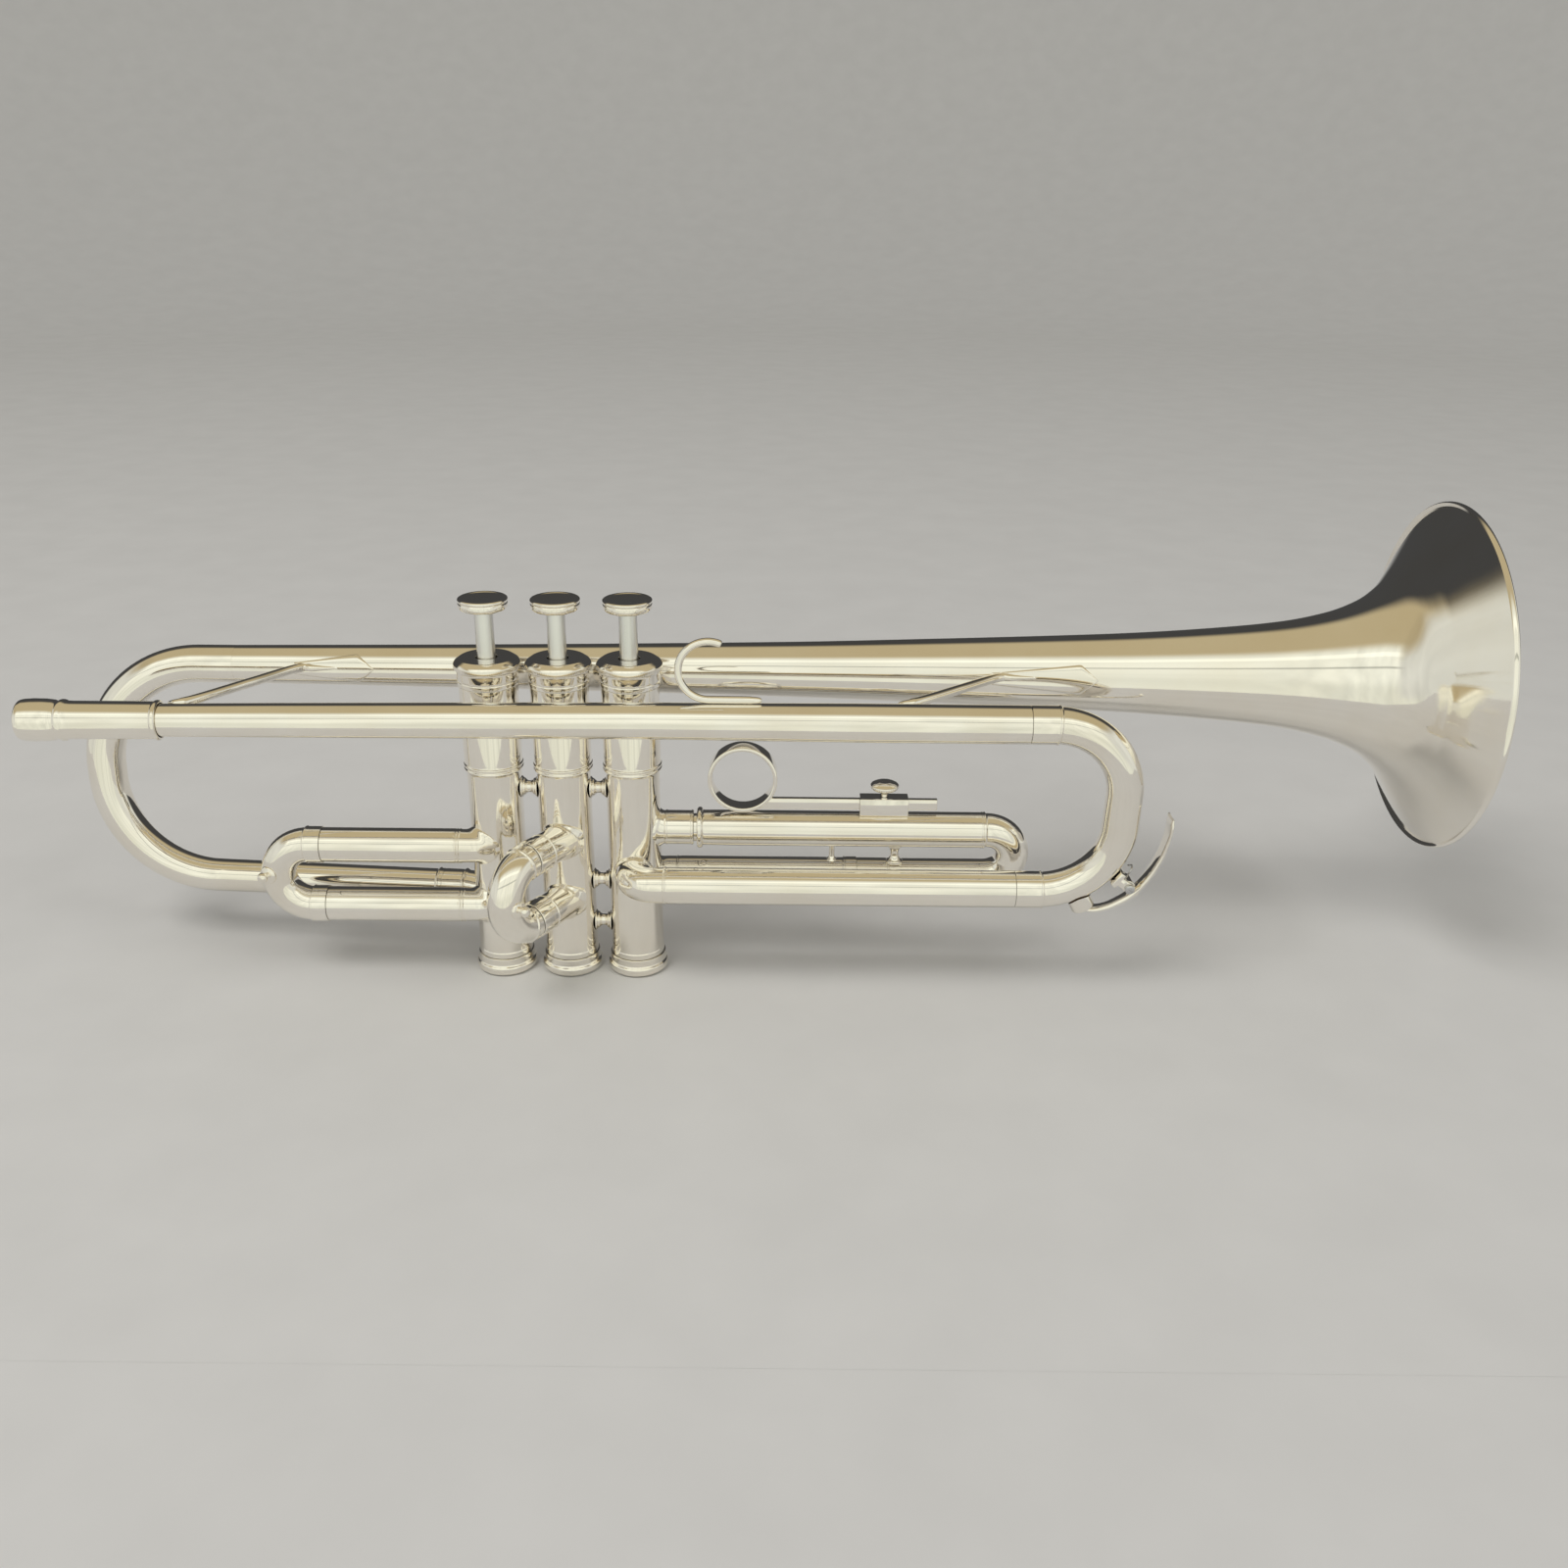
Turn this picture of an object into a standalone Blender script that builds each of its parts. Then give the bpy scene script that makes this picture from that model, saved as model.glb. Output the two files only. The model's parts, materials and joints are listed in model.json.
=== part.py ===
"""B-flat trumpet, modelled as the pieces it comes apart into.

Units are metres. The origin is where the second valve's axis crosses the height of the leadpipe.
+X runs towards the bell, +Y away from the leadpipe and +Z up to the finger buttons.
"""

import math

import bmesh
import bpy
from mathutils import Matrix, Vector

GAP = 0.0003

# Valve cluster
VALVE_PITCH = 0.0243
CASING_TOP = 0.0090
CASING_SHOULDER = 0.0041
CASING_RING = -0.0255
CASING_BOTTOM = -0.1030
UPPER_CASING_RADIUS = 0.0101
LOWER_CASING_RADIUS = 0.00945
THREAD_RADIUS = 0.0091
CASING_BORE = 0.0085
PISTON_RADIUS = 0.0081
BARREL_BORE = 0.0070
PISTON_BOTTOM = -0.0840
BARREL_FLOOR = -0.0290
BARREL_TOP = 0.0040
STROKE = 0.0160
STEM_RADIUS = 0.00315
BUTTON_RADIUS = 0.00845
BUTTON_UNDERSIDE = 0.0302
BUTTON_TOP = 0.0346
CAP_TOP = 0.0137
PORT_RADIUS = 0.0046
GUIDE_TOP = -0.0222
GUIDE_THICKNESS = 0.0030
GUIDE_WING_WIDTH = 0.0030
SPRING_TURNS = 4
SPRING_WIRE = 0.0009
SPRING_RADIUS = 0.0052

# Leadpipe and main tuning slide
LEAD_Y = -0.0246
LEAD_SLOPE = 0.0245
LEAD_KINK_X = 0.0300
RECEIVER_MOUTH = -0.1717
RECEIVER_END = -0.1262
LEAD_END = 0.1583
SLIDE_TUBE_RADIUS = 0.0065
SLIDE_INNER_RADIUS = 0.0053
SLIDE_LOW = (-0.0175, -0.0640)
CROOK_BEND = 0.0260
CROOK_OUTER_X = 0.1925
FERRULE_RADIUS = 0.0067
FERRULE_LENGTH = 0.0074
WALL = 0.0005

# Bell
BELL_Y = 0.0279
BELL_Z = 0.0008
BELL_JOINT_X = -0.1200
BELL_RIM_X = 0.3135
BELL_RIM_RADIUS = 0.0620
BELL_WALL = 0.0008
BOW_OUTER_X = -0.1722
BOW_BEND = 0.0385
TAIL_LOW_Z = -0.0802
TAIL_Y = 0.0200
TAIL_END_Y = 0.0130

# Valve slides
THIRD_HIGH = (0.0005, -0.0496)
THIRD_LOW = (0.0035, -0.0690)
THIRD_OUTER_RADIUS = 0.0064
THIRD_LOW_RADIUS = 0.0061
THIRD_INNER_RADIUS = 0.0050
FIRST_Y = -0.0070
FIRST_HIGH = -0.0544
FIRST_LOW = -0.0777
FIRST_MOUTH = -0.0852
FIRST_FERRULE = 0.0054
KNOB_TURN = math.radians(8)
SECOND_HIGH = -0.0515
SECOND_LOW = -0.0751
SECOND_ANGLE = math.radians(240)
SECOND_OFFSET = 0.0040
VALVE_TUBE_RADIUS = 0.0062
VALVE_INNER_RADIUS = 0.0051

# Triggers and small fittings
RING_BAR_Z = -0.0396
RING_BAR_HEIGHT = 0.0040
RING_CENTRE = (0.0630, -0.0298)
RING_RADIUS = 0.0122
HOOK_WIRE = 0.00125
BRACE_WIRE = 0.00175
CORK_ANGLE = math.radians(-63.0)
PIVOT = (0.1972, -0.0605)

# Facets round a turned piece
LARGE = 16
MEDIUM = 12
SMALL = 10
TINY = 8
BELL_FACETS = 20

SILVER = ((0.86, 0.82, 0.74), 0.08, 1.0)
SATIN = ((0.80, 0.80, 0.79), 0.28, 1.0)
STEEL = ((0.62, 0.62, 0.62), 0.25, 1.0)
FELT = ((0.05, 0.05, 0.055), 0.95, 0.0)
CORK = ((0.50, 0.33, 0.18), 0.90, 0.0)
NYLON = ((0.85, 0.85, 0.80), 0.50, 0.0)

for leftover in list(bpy.data.objects):
    bpy.data.objects.remove(leftover, do_unlink=True)

TRUMPET = bpy.data.collections.new("trumpet")
CUTTERS = bpy.data.collections.new("cutters")
bpy.context.scene.collection.children.link(TRUMPET)
bpy.context.scene.collection.children.link(CUTTERS)


def paint(piece, look):
    """Gives a piece its own Principled material."""
    colour, roughness, metallic = look
    material = bpy.data.materials.new(piece.name + "_finish")
    material.use_nodes = True
    shader = material.node_tree.nodes["Principled BSDF"]
    shader.inputs["Base Color"].default_value = (*colour, 1.0)
    shader.inputs["Roughness"].default_value = roughness
    shader.inputs["Metallic"].default_value = metallic
    piece.data.materials.clear()
    piece.data.materials.append(material)


def add(name, mesh, look, matrix=None):
    """Links a mesh as a named, smooth-shaded piece of the trumpet."""
    piece = bpy.data.objects.new(name, mesh)
    TRUMPET.objects.link(piece)
    if matrix is not None:
        piece.matrix_world = matrix
    mesh.shade_smooth()
    mesh.set_sharp_from_angle(angle=math.radians(40))
    paint(piece, look)
    return piece


def frame_along(origin, direction):
    """A matrix whose local Z runs along direction from origin."""
    turn = Vector(direction).to_track_quat("Z", "Y").to_matrix().to_4x4()
    return Matrix.Translation(Vector(origin)) @ turn


def outline_mesh(name, profile, closed):
    mesh = bpy.data.meshes.new(name)
    edges = [(i, i + 1) for i in range(len(profile) - 1)]
    if closed:
        edges.append((len(profile) - 1, 0))
    mesh.from_pydata([(r, 0.0, z) for r, z in profile], edges, [])
    return mesh


def turned(name, profile, facets, look, origin=(0, 0, 0), direction=(0, 0, 1), hollow=False):
    """A piece turned about direction; the profile of (radius, height) runs down its outer side."""
    piece = bpy.data.objects.new(name, outline_mesh(name, profile, hollow))
    TRUMPET.objects.link(piece)
    piece.matrix_world = frame_along(origin, direction)
    screw = piece.modifiers.new("turn", "SCREW")
    screw.steps = facets
    screw.render_steps = facets
    screw.use_merge_vertices = True
    screw.merge_threshold = 0.00001
    mesh = evaluated_mesh(piece)
    matrix = piece.matrix_world.copy()
    bpy.data.objects.remove(piece)
    return add(name, mesh, look, matrix)


def evaluated_mesh(piece):
    bpy.context.view_layer.update()
    graph = bpy.context.evaluated_depsgraph_get()
    return bpy.data.meshes.new_from_object(piece.evaluated_get(graph))


def tube_object(name, points, radii, sides, capped):
    """A polyline curve with a round section of its own radius at each point."""
    curve = bpy.data.curves.new(name, "CURVE")
    curve.dimensions = "3D"
    curve.bevel_depth = 1.0
    curve.bevel_resolution = (sides - 4) // 2
    curve.use_fill_caps = capped
    spline = curve.splines.new("POLY")
    spline.points.add(len(points) - 1)
    for point, place, radius in zip(spline.points, points, radii):
        point.co = (*place, 1.0)
        point.radius = radius
    piece = bpy.data.objects.new(name, curve)
    TRUMPET.objects.link(piece)
    return piece


def rod(name, points, radii, look, sides=SMALL):
    """A solid wire or tube along the points, as a welded mesh."""
    if not isinstance(radii, (list, tuple)):
        radii = [radii] * len(points)
    curve = tube_object(name, points, radii, sides, True)
    mesh = evaluated_mesh(curve)
    matrix = curve.matrix_world.copy()
    bpy.data.objects.remove(curve)
    weld(mesh)
    return add(name, mesh, look, matrix)


def weld(mesh):
    cage = bmesh.new()
    cage.from_mesh(mesh)
    bmesh.ops.remove_doubles(cage, verts=cage.verts, dist=0.00001)
    bmesh.ops.recalc_face_normals(cage, faces=cage.faces)
    cage.to_mesh(mesh)
    cage.free()


def pipe(name, points, radii, wall, look, sides=SMALL):
    """A hollow tube along the points: an open skin thickened inwards."""
    curve = tube_object(name, points, radii, sides, False)
    mesh = evaluated_mesh(curve)
    bpy.data.objects.remove(curve)
    weld(mesh)
    piece = add(name, mesh, look)
    shell = piece.modifiers.new("wall", "SOLIDIFY")
    shell.thickness = wall
    shell.offset = -1.0
    return piece


def box_mesh(name, low, high):
    mesh = bpy.data.meshes.new(name)
    cage = bmesh.new()
    bmesh.ops.create_cube(cage, size=1.0)
    size = Vector(high) - Vector(low)
    centre = (Vector(high) + Vector(low)) / 2
    for corner in cage.verts:
        corner.co = centre + Vector(corner.co[i] * size[i] for i in range(3))
    cage.to_mesh(mesh)
    cage.free()
    return mesh


def cylinder_mesh(name, radius, length, facets=MEDIUM):
    """A cylinder from local Z 0 to its length."""
    mesh = bpy.data.meshes.new(name)
    cage = bmesh.new()
    lift = Matrix.Translation((0, 0, length / 2))
    bmesh.ops.create_cone(cage, cap_ends=True, segments=facets, radius1=radius, radius2=radius,
                          depth=length, matrix=lift)
    cage.to_mesh(mesh)
    cage.free()
    return mesh


def change(piece, mesh, matrix, operation):
    """Applies a Boolean of piece with a hidden guide solid."""
    guide = bpy.data.objects.new(piece.name + "_guide", mesh)
    CUTTERS.objects.link(guide)
    guide.matrix_world = matrix
    guide.hide_render = True
    guide.display_type = "WIRE"
    step = piece.modifiers.new("shape", "BOOLEAN")
    step.operation = operation
    step.object = guide


def drill(piece, origin, direction, radius, length, facets=SMALL):
    mesh = cylinder_mesh(piece.name + "_drill", radius, length, facets)
    change(piece, mesh, frame_along(origin, direction), "DIFFERENCE")


def join(piece, other):
    """Unites another piece with this one and removes the other from the trumpet."""
    mesh = evaluated_mesh(other)
    matrix = other.matrix_world.copy()
    bpy.data.objects.remove(other)
    change(piece, mesh, matrix, "UNION")


def arc(centre, radius, start, stop, steps, to_world):
    """Points on an arc in a plane; to_world places (across, up) in space."""
    turns = [start + (stop - start) * i / steps for i in range(steps + 1)]
    return [to_world(centre[0] + radius * math.cos(t), centre[1] + radius * math.sin(t)) for t in turns]


def valve_x(number):
    return (number - 2) * VALVE_PITCH


# ---------------------------------------------------------------- valves


def casing(number, ports):
    """A valve's outer tube, bored for its piston, with a port wherever a tube joins it."""
    outer = [
        (THREAD_RADIUS, CASING_TOP),
        (THREAD_RADIUS, CASING_SHOULDER),
        (UPPER_CASING_RADIUS, CASING_SHOULDER - 0.0004),
        (0.0097, CASING_RING + 0.0018),
        (0.0104, CASING_RING + 0.0011),
        (0.0104, CASING_RING - 0.0011),
        (LOWER_CASING_RADIUS, CASING_RING - 0.0018),
        (LOWER_CASING_RADIUS, -0.0982),
        (THREAD_RADIUS, -0.0986),
        (THREAD_RADIUS, CASING_BOTTOM),
    ]
    bore = [(CASING_BORE, CASING_BOTTOM), (CASING_BORE, CASING_TOP)]
    piece = turned(f"valve_casing_{number}", outer + bore, LARGE, SILVER,
                   origin=(valve_x(number), 0, 0), hollow=True)
    for bearing, height in ports:
        aim = (math.cos(bearing), math.sin(bearing), 0)
        start = Vector((valve_x(number), 0, height)) + Vector(aim) * (CASING_BORE - 0.003)
        drill(piece, start, aim, PORT_RADIUS, 0.008, facets=TINY)


def piston(number):
    """A ported piston with its spring barrel above, slotted for the guide's wings."""
    x = valve_x(number)
    profile = [
        (0.0, BARREL_FLOOR),
        (BARREL_BORE, BARREL_FLOOR),
        (BARREL_BORE, BARREL_TOP),
        (PISTON_RADIUS, BARREL_TOP),
        (PISTON_RADIUS, PISTON_BOTTOM),
        (0.0045, PISTON_BOTTOM),
        (0.0045, PISTON_BOTTOM + 0.0030),
        (0.0, PISTON_BOTTOM + 0.0030),
    ]
    piece = turned(f"valve_piston_{number}", profile, LARGE, SATIN, origin=(x, 0, 0))
    slot_low = GUIDE_TOP - GUIDE_THICKNESS - 0.0006
    slot_high = GUIDE_TOP + STROKE + 0.0008
    half = GUIDE_WING_WIDTH / 2 + 0.0004
    slot = box_mesh("slot", (-0.012, -half, slot_low), (0.012, half, slot_high))
    change(piece, slot, Matrix.Translation((x, 0, 0)), "DIFFERENCE")
    for height, bearing in ((-0.0390, 0.0), (-0.0560, 60.0), (-0.0730, 120.0)):
        aim = Vector((math.cos(math.radians(bearing)), math.sin(math.radians(bearing)), 0))
        drill(piece, Vector((x, 0, height)) - aim * 0.010, aim, PORT_RADIUS, 0.020, facets=TINY)


def stem(number):
    """The stem with the plate that screws into the top of the spring barrel."""
    profile = [
        (0.0, BUTTON_UNDERSIDE + 0.0020),
        (0.0020, BUTTON_UNDERSIDE + 0.0020),
        (0.0020, BUTTON_UNDERSIDE - GAP),
        (STEM_RADIUS, BUTTON_UNDERSIDE - GAP),
        (STEM_RADIUS, 0.0075),
        (0.0078, 0.0075),
        (0.0078, BARREL_TOP + GAP),
        (0.0, BARREL_TOP + GAP),
    ]
    turned(f"valve_stem_{number}", profile, MEDIUM, SATIN, origin=(valve_x(number), 0, 0))


def button(number):
    """The finger button: a dished disc with a grooved rim, bored for the stem's thread."""
    outer = [
        (0.0, BUTTON_TOP - 0.0004),
        (0.0072, BUTTON_TOP - 0.0003),
        (0.0079, BUTTON_TOP),
        (BUTTON_RADIUS, BUTTON_TOP - 0.0009),
        (0.0082, BUTTON_TOP - 0.0016),
        (BUTTON_RADIUS, BUTTON_TOP - 0.0024),
        (0.0074, BUTTON_TOP - 0.0036),
        (0.0040, BUTTON_UNDERSIDE),
        (0.0024, BUTTON_UNDERSIDE),
        (0.0024, BUTTON_UNDERSIDE + 0.0024),
        (0.0, BUTTON_UNDERSIDE + 0.0024),
    ]
    turned(f"finger_button_{number}", outer, MEDIUM, SILVER, origin=(valve_x(number), 0, 0))


def stem_felt(number):
    """The felt washer between the stem's plate and the top cap."""
    profile = [(0.0066, 0.0105), (0.0066, 0.0078), (0.0036, 0.0078), (0.0036, 0.0105)]
    turned(f"stem_felt_{number}", profile, SMALL, FELT, origin=(valve_x(number), 0, 0), hollow=True)


def top_cap(number):
    """The screwed cap with a flange at its head and a plain skirt below."""
    profile = [
        (0.0088, CAP_TOP),
        (0.0106, CAP_TOP - 0.0014),
        (0.01145, CAP_TOP - 0.0022),
        (0.01145, CAP_TOP - 0.0037),
        (0.01035, CAP_TOP - 0.0041),
        (0.01025, CASING_SHOULDER + GAP),
        (THREAD_RADIUS + GAP, CASING_SHOULDER + GAP),
        (THREAD_RADIUS + GAP, 0.0109),
        (0.0037, 0.0109),
        (0.0037, CAP_TOP),
    ]
    turned(f"top_cap_{number}", profile, LARGE, SILVER, origin=(valve_x(number), 0, 0), hollow=True)


def bottom_cap(number):
    """The screwed bottom cap with its vent hole."""
    profile = [
        (0.0101, -0.0989),
        (0.0101, -0.1018),
        (0.01095, -0.1024),
        (0.01095, -0.1045),
        (0.0102, -0.1052),
        (0.0020, -0.1052),
        (0.0020, -0.1034),
        (THREAD_RADIUS + GAP, -0.1034),
        (THREAD_RADIUS + GAP, -0.0989),
    ]
    turned(f"bottom_cap_{number}", profile, LARGE, SILVER, origin=(valve_x(number), 0, 0), hollow=True)


def valve_guide(number):
    """The fixed guide: a hub inside the barrel whose two wings reach through the slots."""
    x = valve_x(number)
    hub = turned(f"valve_guide_{number}",
                 [(0.0, GUIDE_TOP), (0.0064, GUIDE_TOP), (0.0064, GUIDE_TOP - GUIDE_THICKNESS),
                  (0.0, GUIDE_TOP - GUIDE_THICKNESS)], SMALL, NYLON, origin=(x, 0, 0))
    half = GUIDE_WING_WIDTH / 2
    reach = CASING_BORE - GAP
    low = (-reach, -half, GUIDE_TOP - GUIDE_THICKNESS + 0.0003)
    wings = box_mesh("wings", low, (reach, half, GUIDE_TOP - 0.0003))
    change(hub, wings, Matrix.Translation((x, 0, 0)), "UNION")


def valve_spring(number):
    """The coil between the stem's plate and the guide."""
    x = valve_x(number)
    low = GUIDE_TOP + SPRING_WIRE / 2 + GAP
    high = BARREL_TOP - SPRING_WIRE / 2
    steps = SPRING_TURNS * 8
    points = []
    for i in range(steps + 1):
        turn = 2 * math.pi * SPRING_TURNS * i / steps
        place = (x + SPRING_RADIUS * math.cos(turn), SPRING_RADIUS * math.sin(turn),
                 low + (high - low) * i / steps)
        points.append(place)
    rod(f"valve_spring_{number}", points, SPRING_WIRE / 2, STEEL, sides=8)


# ---------------------------------------------------------------- leadpipe and main tuning slide


def mouthpiece_receiver():
    """The turned socket for the mouthpiece, with its two rings."""
    outer = [
        (0.0064, RECEIVER_END),
        (0.0068, RECEIVER_END - 0.0003),
        (0.0068, RECEIVER_END - 0.0015),
        (0.0062, RECEIVER_END - 0.0019),
        (0.0063, RECEIVER_MOUTH + 0.0170),
        (0.0069, RECEIVER_MOUTH + 0.0162),
        (0.0069, RECEIVER_MOUTH + 0.0146),
        (0.0065, RECEIVER_MOUTH + 0.0136),
        (0.0070, RECEIVER_MOUTH + 0.0126),
        (0.0070, RECEIVER_MOUTH + 0.0004),
        (0.0067, RECEIVER_MOUTH),
    ]
    bore = [(0.0049, RECEIVER_MOUTH), (0.0046, RECEIVER_MOUTH + 0.0240),
            (0.0057, RECEIVER_MOUTH + 0.0250), (0.0057, RECEIVER_END)]
    origin = (0, LEAD_Y - LEAD_SLOPE * LEAD_KINK_X, 0)
    axis = (1, LEAD_SLOPE, 0)
    turned("mouthpiece_receiver", outer + bore, MEDIUM, SILVER, origin=origin, direction=axis, hollow=True)


def lead_y(x):
    """The leadpipe runs parallel to the bell near the tuning slide and leans outwards behind that."""
    return LEAD_Y + LEAD_SLOPE * min(0.0, x - LEAD_KINK_X)


def leadpipe():
    """The tapered pipe; its far end is the outer tube of the tuning slide's upper leg."""
    stations = (
        (-0.1450, 0.0053), (-0.1290, 0.0054), (-0.0900, 0.0057), (-0.0200, 0.0060),
        (LEAD_KINK_X, 0.0061), (0.0700, 0.0063), (0.1000, SLIDE_TUBE_RADIUS), (LEAD_END, SLIDE_TUBE_RADIUS),
    )
    points = [(x, lead_y(x), 0.0) for x, radius in stations]
    pipe("leadpipe", points, [radius for x, radius in stations], WALL, SILVER, sides=SMALL + 2)


def slide_plane(x, drop):
    """A point of the tuning slide's plane: drop is 0 on the upper leg and 1 on the lower."""
    y, z = SLIDE_LOW
    return (x, LEAD_Y + (y - LEAD_Y) * drop, z * drop)


def tuning_slide_crook():
    """The D-shaped bow with a ferrule and an inner leg on each end."""
    height = -SLIDE_LOW[1]
    corner = CROOK_OUTER_X - CROOK_BEND
    start = LEAD_END - 0.0550
    step = LEAD_END + 0.0004
    end = step + FERRULE_LENGTH

    def place(x, z):
        return slide_plane(x, -z / height)

    upper = arc((corner, -CROOK_BEND), CROOK_BEND, math.pi / 2, 0.0, 5, place)
    lower = arc((corner, CROOK_BEND - height), CROOK_BEND, 0.0, -math.pi / 2, 5, place)
    stations = (start, step, step + 0.0002, end, end + 0.0002)
    lead_in = [place(x, 0) for x in stations]
    lead_out = [place(x, -height) for x in stations[::-1]]
    leg = [SLIDE_INNER_RADIUS] * 2 + [FERRULE_RADIUS] * 2 + [SLIDE_TUBE_RADIUS]
    radii = leg + [SLIDE_TUBE_RADIUS] * (len(upper) + len(lower)) + leg[::-1]
    pipe("tuning_slide_crook", lead_in + upper + lower + lead_out, radii, WALL, SILVER, sides=SMALL + 2)


def tuning_slide_tube():
    """The outer tube of the lower leg, with the elbow that enters the third casing."""
    y, z = SLIDE_LOW
    x = valve_x(3)
    bend = 0.0075
    turn = arc((x + bend, y + bend), bend, math.pi, 1.5 * math.pi, 5, lambda a, b: (a, b, z))
    points = [(x, -0.0085, z)] + turn + [(LEAD_END, y, z)]
    radii = [0.0061, 0.0062, 0.0063, 0.0064] + [SLIDE_TUBE_RADIUS] * (len(points) - 4)
    piece = pipe("tuning_slide_tube", points, radii, WALL, SILVER, sides=SMALL + 2)
    saddle(piece, 3, z)


def saddle(piece, number, height):
    """Trims a tube's end so that it fits the casing's round wall."""
    origin = (valve_x(number), 0, height - 0.012)
    drill(piece, origin, (0, 0, 1), LOWER_CASING_RADIUS + GAP, 0.024, facets=LARGE)


# ---------------------------------------------------------------- bell

FLARE = (
    (-0.1200, 0.0068), (-0.0390, 0.0078), (0.0770, 0.0099), (0.1340, 0.0117), (0.1750, 0.0132),
    (0.2015, 0.0144), (0.2300, 0.0164), (0.2550, 0.0190), (0.2720, 0.0225), (0.2840, 0.0272),
    (0.2930, 0.0338), (0.3000, 0.0425), (0.3065, 0.0522), (0.3108, 0.0595),
)


def bell_radius(x):
    """The flare's outer radius at x."""
    for (low_x, low), (high_x, high) in zip(FLARE, FLARE[1:]):
        if x <= high_x:
            return low + (high - low) * (x - low_x) / (high_x - low_x)
    return FLARE[-1][1]


def bell():
    """The flare, whose rim is rolled into a bead."""
    bead = 0.0015
    outer = [(r, x) for x, r in FLARE][::-1]
    inner = [(r - BELL_WALL, x + (0.0004 if r > 0.03 else 0.0)) for x, r in FLARE]
    centre = (BELL_RIM_RADIUS - bead, BELL_RIM_X - bead)
    roll = []
    for i in range(5):
        turn = math.radians(120 - 60 * i)
        roll.append((centre[0] + bead * math.cos(turn), centre[1] + bead * math.sin(turn)))
    turned("bell", roll + outer + inner, BELL_FACETS, SILVER, origin=(0, BELL_Y, BELL_Z),
           direction=(1, 0, 0), hollow=True)


def bow_plane(x, z):
    """The bow leans: its lower leg lies nearer the valves than the bell's axis."""
    return (x, BELL_Y + (TAIL_Y - BELL_Y) * (BELL_Z - z) / (BELL_Z - TAIL_LOW_Z), z)


def bell_bow():
    """The bow from the bell back to the first casing."""
    centre_x = BOW_OUTER_X + BOW_BEND
    middle = TAIL_LOW_Z + BOW_BEND
    upper = arc((centre_x, BELL_Z - BOW_BEND), BOW_BEND, math.pi / 2, math.pi, 6, bow_plane)
    lower = arc((centre_x, middle), BOW_BEND, math.pi, 1.5 * math.pi, 6, bow_plane)
    z = TAIL_LOW_Z
    top = [bow_plane(BELL_JOINT_X - GAP, BELL_Z)]
    lean = (TAIL_END_Y - TAIL_Y) / (-0.0395 - centre_x)
    ferrule = [(x, TAIL_Y + lean * (x - centre_x), z) for x in (-0.0510, -0.0505, -0.0400, -0.0395)]
    entry = [(-0.0340, 0.0116, z), (-0.0290, 0.0096, z), (-0.0256, 0.0066, z)]
    points = top + upper + lower + ferrule + entry
    radii = [0.0068] * (1 + len(upper)) + [0.0067, 0.0066, 0.0065, 0.0064, 0.0063, 0.0061, 0.0060]
    radii += [0.0061, 0.0064, 0.0064, 0.0060, 0.0058, 0.0056, 0.0054]
    piece = pipe("bell_bow", points, radii, WALL, SILVER, sides=SMALL + 2)
    saddle(piece, 1, z)


# ---------------------------------------------------------------- first slide


def first_tube(name, height):
    """A fixed outer tube from the first casing."""
    points = [(x, FIRST_Y, height) for x in (FIRST_MOUTH, -0.0262)]
    piece = pipe(name, points, [VALVE_TUBE_RADIUS] * 2, WALL, SILVER, sides=SMALL)
    saddle(piece, 1, height)


def first_crook():
    """The moving bow, with a ferrule and an inner leg on each end."""
    middle = (FIRST_HIGH + FIRST_LOW) / 2
    bend = (FIRST_HIGH - FIRST_LOW) / 2
    mouth = FIRST_MOUTH - GAP
    end = mouth - FIRST_FERRULE
    bow = arc((end, middle), bend, math.pi / 2, 1.5 * math.pi, 8, lambda x, z: (x, FIRST_Y, z))
    inner = [-0.0480, mouth + 0.0001, mouth, end + 0.0003]
    points = [(x, FIRST_Y, FIRST_HIGH) for x in inner] + bow
    points += [(x, FIRST_Y, FIRST_LOW) for x in inner[::-1]]
    leg = [VALVE_INNER_RADIUS, VALVE_INNER_RADIUS, 0.0062, 0.0062]
    radii = leg + [VALVE_TUBE_RADIUS] * len(bow) + leg[::-1]
    pipe("first_slide_crook", points, radii, WALL, SILVER, sides=SMALL)
    along = bend * math.cos(KNOB_TURN)
    return Vector((end - along, FIRST_Y, middle + bend * math.sin(KNOB_TURN)))


def pull_knob(name, apex, direction):
    """A small turned knob: a ball on a flange, standing on a crook's bow."""
    aim = Vector(direction).normalized()
    profile = [(0.0, 0.0042), (0.0016, 0.0039), (0.0022, 0.0030), (0.0020, 0.0020), (0.0014, 0.0014),
               (0.0030, 0.0008), (0.0033, 0.0), (0.0, 0.0)]
    turned(name, profile, SMALL, SILVER, origin=apex + aim * (VALVE_TUBE_RADIUS + GAP), direction=aim)


# ---------------------------------------------------------------- second slide


def second_axis(reach, height):
    """A point of the second slide's leg, reach out from the second valve's axis."""
    return (SECOND_OFFSET + reach * math.cos(SECOND_ANGLE), reach * math.sin(SECOND_ANGLE), height)


def second_tube(name, height):
    points = [second_axis(r, height) for r in (0.0060, 0.0230, 0.0234, 0.0282)]
    radii = [VALVE_TUBE_RADIUS, VALVE_TUBE_RADIUS, 0.0066, 0.0066]
    piece = pipe(name, points, radii, WALL, SILVER, sides=SMALL)
    saddle(piece, 2, height)


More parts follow.
